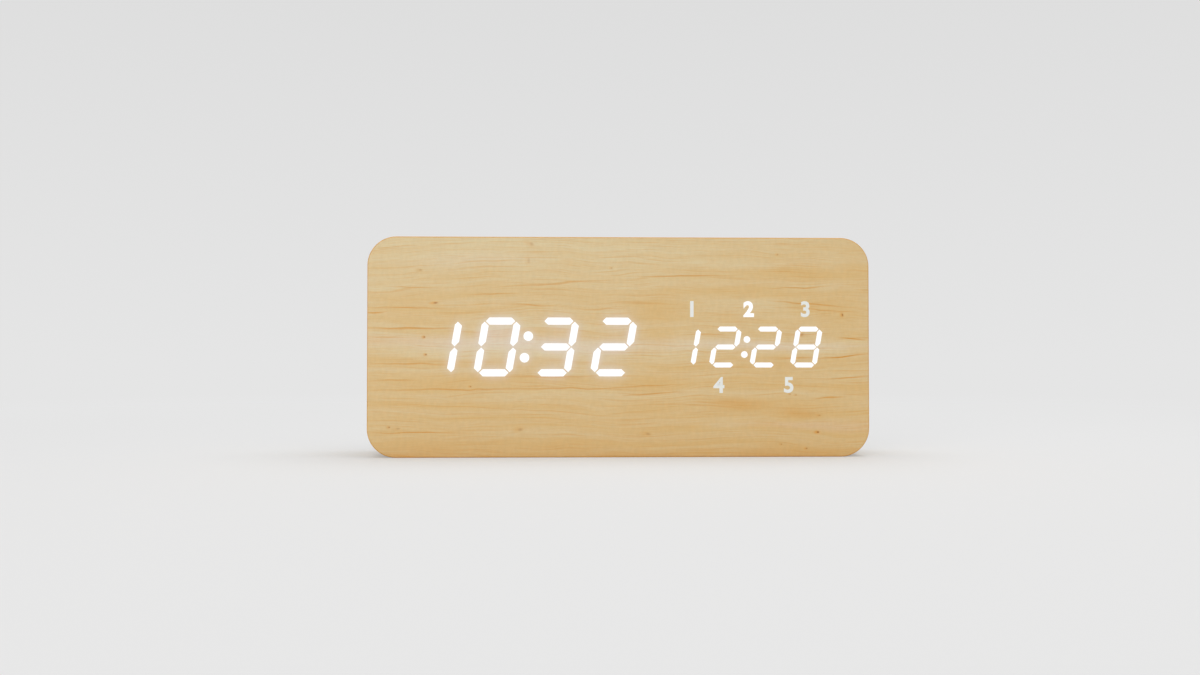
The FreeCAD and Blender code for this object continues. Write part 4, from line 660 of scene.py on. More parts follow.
class CLOCK_OT_front_veneer(bpy.types.Operator):
    """Makes the maple face with its eased edge and the glow round the lit bars."""
    bl_idname = "clock.front_veneer"
    bl_label = "Front Veneer"

    corner_steps = 14
    edge_steps = 4
    step = 0.75 * MM
    edge_round = 0.5 * MM
    behind_light = 0.03 * MM
    # The glow: how strongly each lit piece shines, then how its light falls off beside a
    # bar and how it builds up where several bars are near.
    lights = (("main_time", 1.0), ("small_time", 0.3), ("lit_numeral", 0.3))
    facing_front = 0.9            # a face that is turned less to the front sheds no light
    edge_reach = 1.4 * MM
    edge_power = 1.5
    edge_strength = 0.42
    lone_share = 0.3              # of the edge light, beside a bar that stands alone
    spread_reach = 4.0 * MM
    spread_area = 60 * MM * MM    # of lit bars close by, at which the glow is full
    spread_strength = 0.62

    def rows(self, inset):
        """(half width, height) of each row of the face, drawn in by the inset."""
        half, tall = VENEER_HIGH.x, VENEER_HIGH.z
        bend = CORNER_RADIUS - inset
        low = []
        for index in range(self.corner_steps + 1):
            turn = math.pi / 2 * index / self.corner_steps
            low.append((half - CORNER_RADIUS + bend * math.sin(turn),
                        CORNER_RADIUS - bend * math.cos(turn)))
        straight = tall - 2 * CORNER_RADIUS
        count = round(straight / self.step)
        middle = [(half - inset, CORNER_RADIUS + straight * index / count)
                  for index in range(1, count)]
        return low + middle + [(wide, tall - height) for wide, height in reversed(low)]

    def loop(self, rows, columns, y):
        """The points round the edge of the face, anticlockwise seen from the front."""
        def across(row):
            wide, height = row
            return [(-wide + 2 * wide * index / columns, y, height)
                    for index in range(columns + 1)]
        right = [(wide, y, height) for wide, height in rows[1:-1]]
        left = [(-wide, y, height) for wide, height in reversed(rows[1:-1])]
        return across(rows[0]) + right + across(rows[-1])[::-1] + left

    def execute(self, context):
        # The flat face: rows of points fine enough to carry the glow.
        front = VENEER_LOW.y + self.behind_light
        columns = round(2 * VENEER_HIGH.x / self.step)
        rows = self.rows(self.edge_round)
        points = [(-wide + 2 * wide * index / columns, front, height)
                  for wide, height in rows for index in range(columns + 1)]
        across = columns + 1
        faces = [(row * across + at, row * across + at + 1,
                  (row + 1) * across + at + 1, (row + 1) * across + at)
                 for row in range(len(rows) - 1) for at in range(columns)]
        # From its outline, ring by ring, the eased edge and then the side down to the back.
        last = len(rows) - 1
        ring = [*range(across)]
        ring += [row * across + columns for row in range(1, last)]
        ring += [last * across + at for at in reversed(range(across))]
        ring += [row * across for row in reversed(range(1, last))]
        face_count = len(points)
        profile = []
        for step in range(1, self.edge_steps + 1):
            turn = math.pi / 2 * step / self.edge_steps
            profile.append((self.edge_round * (1 - math.sin(turn)),
                            front + self.edge_round * (1 - math.cos(turn))))
        profile.append((0.0, VENEER_HIGH.y))
        for inset, y in profile:
            start = len(points)
            points += self.loop(self.rows(inset), columns, y)
            fresh = list(range(start, len(points)))
            faces += [(ring[at - 1], ring[at], fresh[at], fresh[at - 1])
                      for at in range(len(ring))]
            ring = fresh
        faces.append(tuple(ring))
        mesh = new_mesh("front_veneer_face", points, faces)
        # What the finish reads: the place along and across the grain, the painted rim shade and glow.
        grain = mesh.uv_layers.new(name="grain")
        where = np.array(points)
        corners = np.empty(len(mesh.loops), dtype=np.int32)
        mesh.loops.foreach_get("vertex_index", corners)
        grain.uv.foreach_set("vector", where[corners][:, (0, 2)].ravel())
        # Painted shade: the rim marks the eased edge and the sides, which the finish draws darker.
        rim = mesh.attributes.new("rim", "FLOAT", "POINT")
        rim.data.foreach_set("value", (np.arange(len(points)) >= face_count).astype(float))
        glow = mesh.attributes.new("glow", "FLOAT", "POINT")
        glow.data.foreach_set("value", self.leak(where))
        piece = new_object("front_veneer_face", mesh)
        soften(piece)
        mesh.materials.append(maple_veneer("maple_face", context.scene.clock_look, face=True))
        seat(piece, "case", "wood_front", "front_veneer")
        return {"FINISHED"}

    def leak(self, where):
        """How much of the lit shapes' light is painted into each point of the wood."""
        flat = where[:, (0, 2)]
        edge_light = np.zeros(len(flat))
        spread = np.zeros(len(flat))
        for name, strength in self.lights:
            mesh = bpy.data.objects[name].data
            nearest = np.full(len(flat), 1.0)
            for face in mesh.polygons:
                if -face.normal.y < self.facing_front:
                    continue
                corners = [np.array(mesh.vertices[at].co)[[0, 2]] for at in face.vertices]
                for start, end in zip(corners, corners[1:] + corners[:1]):
                    along = np.clip((flat - start) @ (end - start) / ((end - start) ** 2).sum(), 0, 1)
                    away = np.linalg.norm(flat - start - along[:, None] * (end - start), axis=1)
                    nearest = np.minimum(nearest, away)
                away = np.linalg.norm(flat - np.array(face.center)[[0, 2]], axis=1)
                spread += strength * face.area * np.exp(-away / self.spread_reach)
            close = np.exp(-(nearest / self.edge_reach) ** self.edge_power)
            edge_light = np.maximum(edge_light, strength * close)
        # Light meets from several bars inside a digit, and is strongest there.
        met = np.minimum(spread / self.spread_area, 1.0)
        beside = edge_light * (self.lone_share + (1 - self.lone_share) * met)
        return self.edge_strength * beside + self.spread_strength * met ** 2


class CLOCK_OT_wooden_case(bpy.types.Operator):
    """Makes the maple wrap round the case and finishes the fibreboard inside it."""
    bl_idname = "clock.wooden_case"
    bl_label = "Wooden Case"

    thickness = 0.4 * MM
    corner_steps = 16
    edge_round = 0.2 * MM
    edge_middle = 0.3    # how far in the rounded edge's middle stands, as a share of its radius

    def outline(self, inset):
        """The points round the case from the middle of the base, drawn in by the inset."""
        half, tall = CASE_HIGH.x - CORNER_RADIUS, CASE_HIGH.z - CORNER_RADIUS
        bend = CORNER_RADIUS - inset
        points = [(0.0, inset)]
        for index, (x, z) in enumerate(((half, CORNER_RADIUS), (half, tall),
                                        (-half, tall), (-half, CORNER_RADIUS))):
            for step in range(self.corner_steps + 1):
                turn = math.pi / 2 * (index - 1 + step / self.corner_steps)
                points.append((x + bend * math.cos(turn), z + bend * math.sin(turn)))
        return points

    def execute(self, context):
        look = context.scene.clock_look
        back = CASE_HIGH.y
        middle = self.edge_round * self.edge_middle
        profile = [(0.0, CASE_LOW.y), (0.0, back - self.edge_round), (middle, back - middle),
                   (self.edge_round, back), (self.thickness, back),
                   (self.thickness, CASE_LOW.y)]
        outer = self.outline(0.0)
        count = len(outer)
        points = [(x, y, z) for inset, y in profile for x, z in self.outline(inset)]
        lengths = [0.0]
        for at in range(count):
            here, there = outer[at], outer[(at + 1) % count]
            lengths.append(lengths[-1] + math.dist(here, there))
        faces, places = [], []
        for ring in range(len(profile)):
            after = (ring + 1) % len(profile)
            for at in range(count):
                ahead = (at + 1) % count
                faces.append((ring * count + at, ring * count + ahead,
                              after * count + ahead, after * count + at))
                level, next_level = profile[ring][1], profile[after][1]
                places += [(lengths[at], level), (lengths[at + 1], level),
                           (lengths[at + 1], next_level), (lengths[at], next_level)]
        # No face is turned over here, because the places follow the order of the corners.
        mesh = bpy.data.meshes.new("maple_wrap")
        mesh.from_pydata(points, [], faces)
        grain = mesh.uv_layers.new(name="grain")
        grain.uv.foreach_set("vector", np.array(places).ravel())
        piece = new_object("maple_wrap", mesh)
        soften(piece)
        mesh.materials.append(maple_veneer("maple_wrap", look))
        seat(piece, "case", "wood_wrap", "side_wrap")
        # Medium-density fibreboard, sawn: pale brown felted fibres, dull and open.
        dress(["case_core"], grained("sawn_fibreboard", "#A98862", 0.85, 0.35, 0.08, tint=0.16))
        return {"FINISHED"}


# ---------------------------------------------------------------- lit display

def digit_mesh(display, ratio):
    """The seven flat bars of one digit, each face numbered as its segment."""
    row, bar = display.row * ratio, display.bar * ratio
    half, gap = display.stroke * ratio / 2, display.gap * ratio
    lean, shift = math.tan(display.bar_lean), math.tan(display.row_lean)
    bars = {}
    for name, side in (("a", 1), ("g", 0), ("d", -1)):
        x, z, tip = shift * row * side, row * side, bar - gap
        bars[name] = [(x - tip, z), (x - tip + half, z - half), (x + tip - half, z - half),
                      (x + tip, z), (x + tip - half, z + half), (x - tip + half, z + half)]
    for name, across, up in (("b", 1, 1), ("c", 1, -1), ("e", -1, -1), ("f", -1, 1)):
        inner, outer, turn = (bar - half) * across, (bar + half) * across, up * across
        near = (bar * across, gap / 2 * up)
        far = (shift * row * up + bar * across, (row - gap / 2) * up)

        def corner(edge, tip, slope):
            # Where the 45 degree cut through the tip meets the leaning edge.
            z = (tip[1] + (edge - tip[0]) * slope) / (1 - lean * slope)
            return edge + lean * z, z
        bars[name] = [near, corner(outer, near, turn), corner(outer, far, -turn),
                      far, corner(inner, far, turn), corner(inner, near, -turn)][::turn]
    points, faces = [], []
    for name in SEGMENTS:
        faces.append(tuple(range(len(points), len(points) + len(bars[name]))))
        points += [(x, 0.0, z) for x, z in bars[name]]
    mesh = bpy.data.meshes.new("digit")
    mesh.from_pydata(points, [], faces)
    mesh.attributes.new("segment", "INT", "FACE").data.foreach_set(
        "value", list(range(len(SEGMENTS))))
    return mesh


def time_tree(material):
    """Four digits and a colon that show a time, from the flat bars of one digit."""
    tree, given = new_tree(
        "lit_time", ("Time", "Int"), ("Pitch", "Float"), ("Colon Row", "Float"),
        ("Colon Dot", "Float"), ("Lean", "Float"), ("Thickness", "Float"), ("Centre", "Vector"))
    value = given.outputs
    # Four places in a row about the middle.
    index = add(tree, "GeometryNodeInputIndex")
    from_middle = add(tree, "ShaderNodeMath", {0: index, 1: 1.5}, operation="SUBTRACT")
    across = add(tree, "ShaderNodeMath", {0: from_middle, 1: value["Pitch"]},
                 operation="MULTIPLY")
    places = add(tree, "GeometryNodePoints", {
        "Count": 4, "Position": add(tree, "ShaderNodeCombineXYZ", {0: across})})
    # The digit of each place, and from it the bars to light, as the bits of one number.
    power = add(tree, "ShaderNodeMath", {
        0: 10.0, 1: add(tree, "ShaderNodeMath", {0: 3.0, 1: index}, operation="SUBTRACT")},
        operation="POWER")
    shifted = add(tree, "ShaderNodeMath", {
        0: add(tree, "ShaderNodeMath", {0: value["Time"], 1: power}, operation="DIVIDE")},
        operation="FLOOR")
    digit = add(tree, "ShaderNodeMath", {0: shifted, 1: 10.0}, operation="MODULO")
    pattern = add(tree, "GeometryNodeIndexSwitch", {0: digit}, data_type="INT")
    while len(pattern.index_switch_items) < len(LIT):
        pattern.index_switch_items.new()
    for number, names in enumerate(LIT):
        pattern.inputs[number + 1].default_value = sum(
            1 << SEGMENTS.index(name) for name in names)
    marked = add(tree, "GeometryNodeStoreNamedAttribute", {
        "Geometry": places, "Name": "pattern", "Value": pattern},
        data_type="INT", domain="POINT")
    digits = add(tree, "GeometryNodeRealizeInstances", {
        0: add(tree, "GeometryNodeInstanceOnPoints", {
            "Points": marked, "Instance": value["Geometry"]})})
    # A bar whose bit is 0 stays dark, so its face is taken away.
    known = add(tree, "GeometryNodeInputNamedAttribute", {"Name": "pattern"}, data_type="INT")
    segment = add(tree, "GeometryNodeInputNamedAttribute", {"Name": "segment"}, data_type="INT")
    place = add(tree, "ShaderNodeMath", {0: 2.0, 1: segment}, operation="POWER")
    lowered = add(tree, "ShaderNodeMath", {
        0: add(tree, "ShaderNodeMath", {0: known, 1: place}, operation="DIVIDE")},
        operation="FLOOR")
    bit = add(tree, "ShaderNodeMath", {0: lowered, 1: 2.0}, operation="MODULO")
    dark = add(tree, "ShaderNodeMath", {0: bit, 1: 0.5}, operation="LESS_THAN")
    bars = add(tree, "GeometryNodeDeleteGeometry", {
        "Geometry": digits, "Selection": dark}, domain="FACE")
    # The colon: two dots on the lean of the digits.
    side = add(tree, "ShaderNodeMath", {0: index, 1: 2.0, 2: -1.0}, operation="MULTIPLY_ADD")
    level = add(tree, "ShaderNodeMath", {0: side, 1: value["Colon Row"]}, operation="MULTIPLY")
    slant = add(tree, "ShaderNodeMath", {0: level, 1: value["Lean"]}, operation="MULTIPLY")
    dots = add(tree, "GeometryNodePoints", {
        "Count": 2, "Position": add(tree, "ShaderNodeCombineXYZ", {0: slant, 2: level})})
    radius = add(tree, "ShaderNodeMath", {0: value["Colon Dot"], 1: 0.5}, operation="MULTIPLY")
    disc = add(tree, "GeometryNodeMeshCircle", {"Vertices": 40, "Radius": radius},
               fill_type="NGON")
    colon = add(tree, "GeometryNodeRealizeInstances", {
        0: add(tree, "GeometryNodeInstanceOnPoints", {
            "Points": dots, "Instance": disc, "Rotation": (math.pi / 2, 0, 0)})})
    # The flat shapes are made solid and moved to their place.
    flat = add(tree, "GeometryNodeJoinGeometry", {0: [bars, colon]})
    over = add(tree, "GeometryNodeExtrudeMesh", {
        "Mesh": flat, "Offset Scale": value["Thickness"], "Individual": False})
    under = add(tree, "GeometryNodeFlipFaces", {0: flat})
    whole = add(tree, "GeometryNodeMergeByDistance", {
        "Geometry": add(tree, "GeometryNodeJoinGeometry", {0: [over, under]}),
        "Distance": WELD})
    moved = add(tree, "GeometryNodeTransform", {
        "Geometry": whole, "Translation": value["Centre"]})
    painted = add(tree, "GeometryNodeSetMaterial", {"Geometry": moved, "Material": material})
    add(tree, "NodeGroupOutput", {0: painted})
    return tree


class CLOCK_OT_lit_times(bpy.types.Operator):
    """Makes the lit bars and dots of the large and the small time."""
    bl_idname = "clock.lit_times"
    bl_label = "Lit Times"

    colon_row = 4.5 * MM
    colon_dot = 4.0 * MM

    def execute(self, context):
        display = context.scene.clock_display
        tree = time_tree(light_white())
        for name, time, ratio, pitch, x in (
                ("main_time", display.main_time, 1.0, display.pitch, display.main_x),
                ("small_time", display.small_time, display.small_ratio, display.small_pitch,
                 display.small_x)):
            piece = new_object(name, digit_mesh(display, ratio))
            grow(piece, tree, time=time, pitch=pitch, colon_row=self.colon_row * ratio,
                 colon_dot=self.colon_dot * ratio, lean=math.tan(display.bar_lean),
                 thickness=LIGHT_DEEP, centre=(x, VENEER_LOW.y + LIGHT_DEEP, FRONT_MIDDLE))
            seat(piece, "case", "milky_film")
        return {"FINISHED"}


class CLOCK_OT_numerals(bpy.types.Operator):
    """Makes the five numerals round the small time, with the current one lit."""
    bl_idname = "clock.numerals"
    bl_label = "Row Numerals"

    # Each row: above or below the small time, its shift across, its pitch and its numerals.
    rows = ((1, 1.3 * MM, 23.9 * MM, "123"), (-1, 3.4 * MM, 29.4 * MM, "45"))
    current = "2"
    weight = 0.032
    lit_weight = 0.05

    def execute(self, context):
        display = context.scene.clock_display
        # Printed white ink: flat, dense and slightly grey.
        ink = grained("printed_white", "#EDEFEB", 0.6, 0.3, 0.004, tint=0.01)
        lit, dim = [], []
        for level, shift, pitch, texts in self.rows:
            for index, text in enumerate(texts):
                x = display.small_x + shift + pitch * (index - (len(texts) - 1) / 2)
                shines = text == self.current
                (lit if shines else dim).append(letters(
                    text, self.lit_weight if shines else self.weight, display.label_tall,
                    (x, FRONT_MIDDLE + display.label_row * level),
                    (VENEER_LOW.y, VENEER_LOW.y + LIGHT_DEEP)))
        lettered("lit_numeral", lit, bpy.data.materials["lit_segment"])
        lettered("printed_numerals", dim, ink)
        return {"FINISHED"}


# ---------------------------------------------------------------- the back

class CLOCK_OT_back(bpy.types.Operator):
    """Finishes the moulded cover, door, buttons, switch, socket and grille."""
    bl_idname = "clock.back"
    bl_label = "Back"

    def execute(self, context):
        look = context.scene.clock_look
        # Spark-eroded ABS: black, with a fine matt grain, dull all over.
        dress(["rear_cover", "battery_door"],
              grained("eroded_abs", look.plastic, 0.5, 0.45, 0.035, tint=0.1, IOR=1.53))
        # Polished ABS caps: darker, with a soft gloss.
        dress(["set_button", "up_button", "down_button", "mute_button", "sound_slider"],
              grained("button_abs", "#161618", 0.28, 1.2, 0.004, IOR=1.53))
        # Drawn steel shell under bright nickel.
        dress(["power_socket"], grained("nickel_shell", "#C9C6BE", 0.22, 0.5, 0.003,
                                        Metallic=1.0))
        # Pressed steel case of the slide switch under dull zinc.
        dress(["sound_switch"], grained("zinc_shell", "#A9ACB0", 0.4, 0.5, 0.004,
                                        Metallic=1.0))
        dress(["grille_cloth"], woven_cloth("dust_cloth", "#2A2A2C", 0.45))
        return {"FINISHED"}


class CLOCK_OT_cover_screws(bpy.types.Operator):
    """Makes the four crowned screws of the cover, each turned its own way."""
    bl_idname = "clock.cover_screws"
    bl_label = "Cover Screws"

    head = 4.6 * MM
    head_tall = 1.28 * MM
    head_side = 0.3 * MM
    shank = 2.6 * MM
    point = 2.0 * MM
    recess = 2.7 * MM
    slot = 0.62 * MM
    recess_deep = 0.75 * MM
    crown_steps = 8

    def execute(self, context):
        low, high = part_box("cover_screws")
        side, top = COVER_BACK + self.head_side, COVER_BACK + self.head_tall
        crown = [math.pi / 2 * step / self.crown_steps for step in range(self.crown_steps)]
        profile = [(0.0, low.y), (self.shank / 2, low.y + self.point),
                   (self.shank / 2, COVER_BACK), (self.head / 2, COVER_BACK)]
        profile += [(self.head / 2 * math.cos(turn), side + (top - side) * math.sin(turn))
                    for turn in crown]
        piece = new_object("crowned_screws", turned("crowned_screws", profile + [(0.0, top)]))
        cutter = new_object("recess", plates(
            "recess", [cross(0, 0, self.recess, self.slot)], top - self.recess_deep, 2 * top))
        cut = piece.modifiers.new("recess", "BOOLEAN")
        cut.object, cut.operation, cut.solver = cutter, "DIFFERENCE", "EXACT"
        plain(piece)
        bpy.data.objects.remove(cutter)
        # Steel screws blacked in hot oil: nearly black, with a low oily sheen.
        blacked = grained("blacked_steel", "#76767A", 0.3, 0.25, 0.004, Metallic=1.0)
        middle = (low + high) / 2
        grow(piece, grid_tree("screw_places", blacked), columns=2, rows=2,
             width=high.x - low.x - self.head, height=high.z - low.z - self.head,
             largest_turn=math.pi, centre=(middle.x, 0, middle.z))
        soften(piece)
        seat(piece, "case", "black_steel", "cover_screws")
        return {"FINISHED"}


class CLOCK_OT_socket_contacts(bpy.types.Operator):
    """Makes the gilt contacts on both faces of the socket's tongue."""
    bl_idname = "clock.socket_contacts"
    bl_label = "Socket Contacts"

    count = 12
    pitch = 0.5 * MM
    width = 0.28 * MM
    proud = 0.03 * MM
    tip_gap = 0.6 * MM
    length = 3.8 * MM

    def execute(self, context):
        low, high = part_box("socket_tongue")
        end = high.y - self.tip_gap
        piece = new_object("tongue_contacts", plates(
            "tongue_contacts", [bar(0, 0, self.width, 2 * self.proud)], end - self.length, end))
        # Hard gold over nickel: yellow and bright, without grain.
        gilt = grained("hard_gold", "#E3BE62", 0.2, 0.4, 0.001, Metallic=1.0)
        middle = (low + high) / 2
        grow(piece, grid_tree("contact_places", gilt), columns=self.count, rows=2,
             width=self.pitch * (self.count - 1), height=high.z - low.z,
             largest_turn=0.0, centre=(middle.x, 0, middle.z))
        seat(piece, "case", "pin_metal")
        return {"FINISHED"}


class CLOCK_OT_back_marks(bpy.types.Operator):
    """Prints the plain symbols of the buttons and the switch, and moulds the door's arrow."""
    bl_idname = "clock.back_marks"
    bl_label = "Back Marks"

    ink = 0.03 * MM
    raised = 0.35 * MM
    words = (("ON", -3.1 * MM), ("OFF", 3.1 * MM))
    word_tall = 1.7 * MM
    word_weight = 0.02
    word_drop = 3.6 * MM
    sign_rise = 4.6 * MM
    arrow_inset = 9.0 * MM
    # Outlines in millimetres from the middle of each mark, seen from behind.
    horn = [(-1.55, -0.45), (-0.95, -0.45), (-0.25, -1.15), (-0.25, 1.15), (-0.95, 0.45),
            (-1.55, 0.45)]
    signs = {
        "set": [bar(0, up, 2.6, 0.42) for up in (-0.9, 0, 0.9)],
        "up": [[(-1.5, -0.95), (1.5, -0.95), (0, 1.45)]],
        "down": [[(-1.5, 0.95), (0, -1.45), (1.5, 0.95)]],
        "mute": [horn, cross(0.95, 0, 1.75, 0.36, math.pi / 4)],
    }
    waves = [[(0.35, -0.6), (0.7, -0.75), (0.95, 0), (0.7, 0.75), (0.35, 0.6), (0.55, 0)],
             [(1.05, -1.0), (1.4, -1.15), (1.75, 0), (1.4, 1.15), (1.05, 1.0), (1.35, 0)]]
    arrow = [(-3.4, 0), (1.7, -3.0), (1.7, 3.0)]

    def marked(self, name, outlines, place, low, high, material, body, slot):
        """Plates with these outlines in millimetres, seen from behind, about the place."""
        moved = [[(place[0] - across * MM, place[1] + up * MM) for across, up in outline]
                 for outline in outlines]
        mesh = plates(name, moved, low, high)
        mesh.materials.append(material)
        seat(new_object(name, mesh), body, slot)

    def execute(self, context):
        white = bpy.data.materials["printed_white"]
        for name, outlines in self.signs.items():
            low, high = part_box(name + "_button")
            self.marked(name + "_sign", outlines, ((low.x + high.x) / 2, (low.z + high.z) / 2),
                        high.y - self.ink, high.y + self.ink, white, name + "_key", "milky_film")
        low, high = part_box("sound_switch")
        x, z = (low.x + high.x) / 2, (low.z + high.z) / 2
        under, over = COVER_BACK - self.ink, COVER_BACK + self.ink
        self.marked("sound_sign", [self.horn, *self.waves], (x, z + self.sign_rise),
                    under, over, white, "case", "milky_film")
        lettered("switch_words", [
            letters(text, self.word_weight, self.word_tall, (x + across, z - self.word_drop),
                    (over, under), side=-1) for text, across in self.words], white)
        low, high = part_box("battery_door")
        self.marked("door_arrow", [self.arrow],
                    (high.x - self.arrow_inset, (low.z + high.z) / 2),
                    COVER_BACK - self.ink, COVER_BACK + self.raised,
                    bpy.data.materials["button_abs"], "door", "cover_plastic")
        return {"FINISHED"}


class CLOCK_OT_inner_parts(bpy.types.Operator):
    """Finishes the pieces inside the case."""
    bl_idname = "clock.inner_parts"
    bl_label = "Inner Parts"

    def execute(self, context):
        # Black-filled ABS, moulded: even and dull, so that no light crosses the wells.
        dress(["light_mask", "board_socket", "key_switches", "set_stem", "up_stem",
               "down_stem", "mute_stem", "socket_tongue"],
              grained("black_moulding", "#222224", 0.5, 0.5, 0.02, IOR=1.53))
        # Polyester film with a white filler, rolled: milky, smooth and even.
        dress(["diffuser_film"], grained("milky_film", "#F1F1EC", 0.4, 0.8, 0.002, tint=0.01))
        dress(["display_board", "control_board"], circuit_board("solder_mask"))
        # Clear epoxy cast over yellow phosphor: creamy, with a soft gloss.
        dress(["display_leds"], grained("led_epoxy", "#F2E9B8", 0.3, 0.6, 0.002))
        # Filled epoxy moulded round the chips: dark grey, dull and fine-grained.
        dress(["display_driver", "processor_chip", "voice_chip"],
              grained("chip_epoxy", "#252627", 0.6, 0.2, 0.01))
        # Square brass pins flashed with gold: yellow and bright.
        dress(["board_header"], grained("gilt_pins", "#E0B860", 0.25, 0.4, 0.002, Metallic=1.0))
        # Steel under clear zinc plate: pale bluish grey, half bright.
        dress(["display_screws", "board_screws", "speaker_screws", "speaker_basket"],
              grained("zinc_plate", "#B9BCC0", 0.35, 0.5, 0.004, Metallic=1.0))
        # Steel under bright nickel plate: a little warm and glossy.
        dress(["battery_contacts", "clock_crystal"],
              grained("nickel_plate", "#CFCBC2", 0.22, 0.6, 0.002, Metallic=1.0))
        dress(["battery_cells"], jacketed_cells("shrink_sleeve", *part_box("battery_cells")))
        # Wire in extruded PVC: red and waxy.
        dress(["battery_leads", "speaker_leads"],
              grained("pvc_red", "#B3262A", 0.4, 0.7, 0.004, IOR=1.53))
        # Undyed nylon, moulded: cream, with a soft gloss.
        dress(["battery_plugs", "speaker_plug"],
              grained("natural_nylon", "#EDE8DA", 0.45, 0.6, 0.004, IOR=1.53))
        # Die-cut closed-cell foam: black, dull and open.
        dress(["speaker_gasket"], grained("closed_foam", "#2A2A2A", 0.9, 0.5, 0.1))
        # Pressed and sintered ferrite: dark grey, dull and gritty.
        dress(["speaker_magnet"], grained("sintered_ferrite", "#3B3B3D", 0.6, 0.25, 0.01))
        # Paper pulp pressed in a form: dark felted fibres, dull.
        dress(["speaker_cone"], grained("pressed_paper", "#2E2C2A", 0.85, 0.4, 0.05, tint=0.12))
        # Punched resin-bonded paper board: brown and smooth.
        dress(["speaker_terminals"], grained("tag_board", "#7A5630", 0.6, 0.4, 0.01))
        # Aluminium cans in a shrunk PVC sleeve: dark blue and glossy.
        dress(["capacitors"], grained("capacitor_sleeve", "#1F2A44", 0.3, 0.8, 0.002))
        return {"FINISHED"}


# ---------------------------------------------------------------- the stage

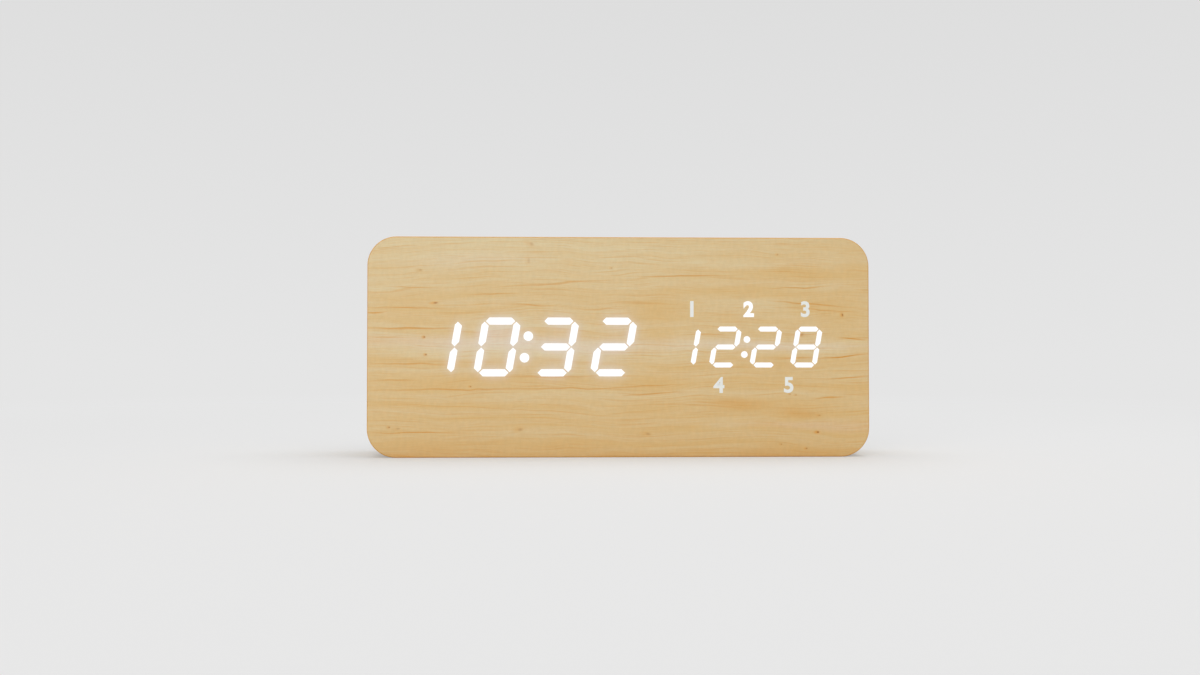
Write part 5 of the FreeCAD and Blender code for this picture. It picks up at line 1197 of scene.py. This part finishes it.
class CLOCK_OT_stage(bpy.types.Operator):
    """Makes the pale floor, the room light, the two soft lamps and the camera."""
    bl_idname = "clock.stage"
    bl_label = "Stage"

    floor_size = 12.0
    floor_colour = "#E8E8E8"
    # From the first distance to the second, in metres, the camera sees the lit floor turn
    # into an evenly pale one, which has the least share near the clock.
    even_from = 0.22
    even_to = 0.7
    even_least = 0.3
    # Distance in metres or height of the view, and the colour there.
    floor_ramp = ((0.3, "#EAEAEA"), (0.65, "#E6E6E6"), (1.0, "#E5E5E5"))
    view_ramp = ((0.0, "#E5E5E5"), (0.3, "#DEDEDE"))
    # Name, the setting with its power, place and size in metres.
    lamps = (("key", "key_power", (0.14, 0.16, 1.3), (1.5, 1.2)),
             ("fill", "fill_power", (-0.55, -1.5, 0.36), (1.2, 0.5)))
    sensor = 36.0
    nearest = 0.01
    furthest = 50.0

    def make_floor(self):
        """The floor, a matt card that turns evenly pale in the distance."""
        side = self.floor_size / 2
        floor = new_object("floor", new_mesh("floor", [
            (-side, -side, 0), (side, -side, 0), (side, side, 0), (-side, side, 0)],
            [(0, 1, 2, 3)]))
        material, tree, shader = new_material("studio_floor", Roughness=0.9)
        shader.inputs["Base Color"].default_value = linear(self.floor_colour)
        shader.inputs["Specular IOR Level"].default_value = 0.0
        place = add(tree, "ShaderNodeTexCoord").outputs["Object"]
        reach = add(tree, "ShaderNodeVectorMath", {0: place}, operation="LENGTH")
        far = add(tree, "ShaderNodeMapRange", {
            "Value": reach, "From Min": self.even_from, "From Max": self.even_to,
            "To Min": self.even_least}, interpolation_type="SMOOTHSTEP")
        seen = add(tree, "ShaderNodeMath", {
            0: far, 1: add(tree, "ShaderNodeLightPath").outputs["Is Camera Ray"]},
            operation="MULTIPLY")
        even = add(tree, "ShaderNodeEmission", {
            "Color": add(tree, "ShaderNodeValToRGB", {0: reach}, ramp=self.floor_ramp)})
        add(tree, "ShaderNodeMixShader", {0: seen, 1: shader, 2: even},
            to=tree.nodes["Material Output"].inputs[0])
        floor.data.materials.append(material)

    def make_room(self, scene, strength):
        """The even light from all round, and the pale room that the camera sees."""
        world = bpy.data.worlds.new("room")
        scene.world = world
        world.use_nodes = True
        tree = world.node_tree
        tree.nodes.clear()
        place = add(tree, "ShaderNodeTexCoord").outputs["Generated"]
        shade = add(tree, "ShaderNodeValToRGB", {
            0: add(tree, "ShaderNodeSeparateXYZ", {0: place}).outputs["Z"]}, ramp=self.view_ramp)
        light = add(tree, "ShaderNodeBackground", {"Color": (1, 1, 1, 1), "Strength": strength})
        view = add(tree, "ShaderNodeBackground", {"Color": shade, "Strength": 1.0})
        path = add(tree, "ShaderNodeLightPath").outputs
        direct = add(tree, "ShaderNodeMath", {
            0: path["Is Camera Ray"], 1: path["Is Glossy Ray"]}, operation="MAXIMUM")
        joined = add(tree, "ShaderNodeMixShader", {0: direct, 1: light, 2: view})
        add(tree, "ShaderNodeOutputWorld", {0: joined})

    def execute(self, context):
        stage = context.scene.clock_stage
        self.make_floor()
        self.make_room(context.scene, stage.sky)
        aim = (CASE_LOW + CASE_HIGH) / 2
        for name, power, place, size in self.lamps:
            lamp = bpy.data.lights.new(name, "AREA")
            lamp.shape, lamp.energy = "RECTANGLE", getattr(stage, power)
            lamp.size, lamp.size_y = size
            holder = new_object(name, lamp)
            holder.location = place
            holder.rotation_euler = (Vector(place) - aim).to_track_quat("Z", "Y").to_euler()
        camera = bpy.data.cameras.new("camera")
        camera.lens, camera.sensor_width = stage.camera_lens, self.sensor
        camera.clip_start, camera.clip_end = self.nearest, self.furthest
        eye = new_object("camera", camera)
        eye.location = stage.camera_place
        eye.rotation_euler = (math.pi / 2 + stage.camera_pitch, 0, -stage.camera_yaw)
        context.scene.camera = eye
        context.scene.view_settings.view_transform = "Standard"
        return {"FINISHED"}


# ---------------------------------------------------------------- the add-on

class CLOCK_PT_panel(bpy.types.Panel):
    """Lists the clock's pieces and settings."""
    bl_idname = "CLOCK_PT_panel"
    bl_label = "Wooden Desk Clock"
    bl_space_type = "VIEW_3D"
    bl_region_type = "UI"
    bl_category = "Clock"

    def draw(self, context):
        layout = self.layout
        for operator in OPERATORS:
            layout.operator(operator.bl_idname)
        for name in GROUPS:
            box = layout.box()
            settings = getattr(context.scene, name)
            for key in GROUPS[name].__annotations__:
                box.prop(settings, key)


GROUPS = {"clock_display": ClockDisplay, "clock_look": ClockLook, "clock_stage": ClockStage}
OPERATORS = (CLOCK_OT_lit_times, CLOCK_OT_numerals, CLOCK_OT_front_veneer,
             CLOCK_OT_wooden_case, CLOCK_OT_back, CLOCK_OT_cover_screws,
             CLOCK_OT_socket_contacts, CLOCK_OT_back_marks, CLOCK_OT_inner_parts, CLOCK_OT_stage)
CLASSES = (*GROUPS.values(), *OPERATORS, CLOCK_PT_panel)


def register():
    """Registers the classes and hangs the settings on the scene."""
    for item in CLASSES:
        bpy.utils.register_class(item)
    for name, group in GROUPS.items():
        setattr(bpy.types.Scene, name, bpy.props.PointerProperty(type=group))


def unregister():
    """Takes the settings and classes away again."""
    for name in GROUPS:
        delattr(bpy.types.Scene, name)
    for item in reversed(CLASSES):
        bpy.utils.unregister_class(item)


def main():
    """Dresses the clock and sets the stage."""
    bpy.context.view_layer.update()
    register()
    for operator in OPERATORS:
        group, name = operator.bl_idname.split(".")
        getattr(getattr(bpy.ops, group), name)()


if __name__ == "__main__":
    main()
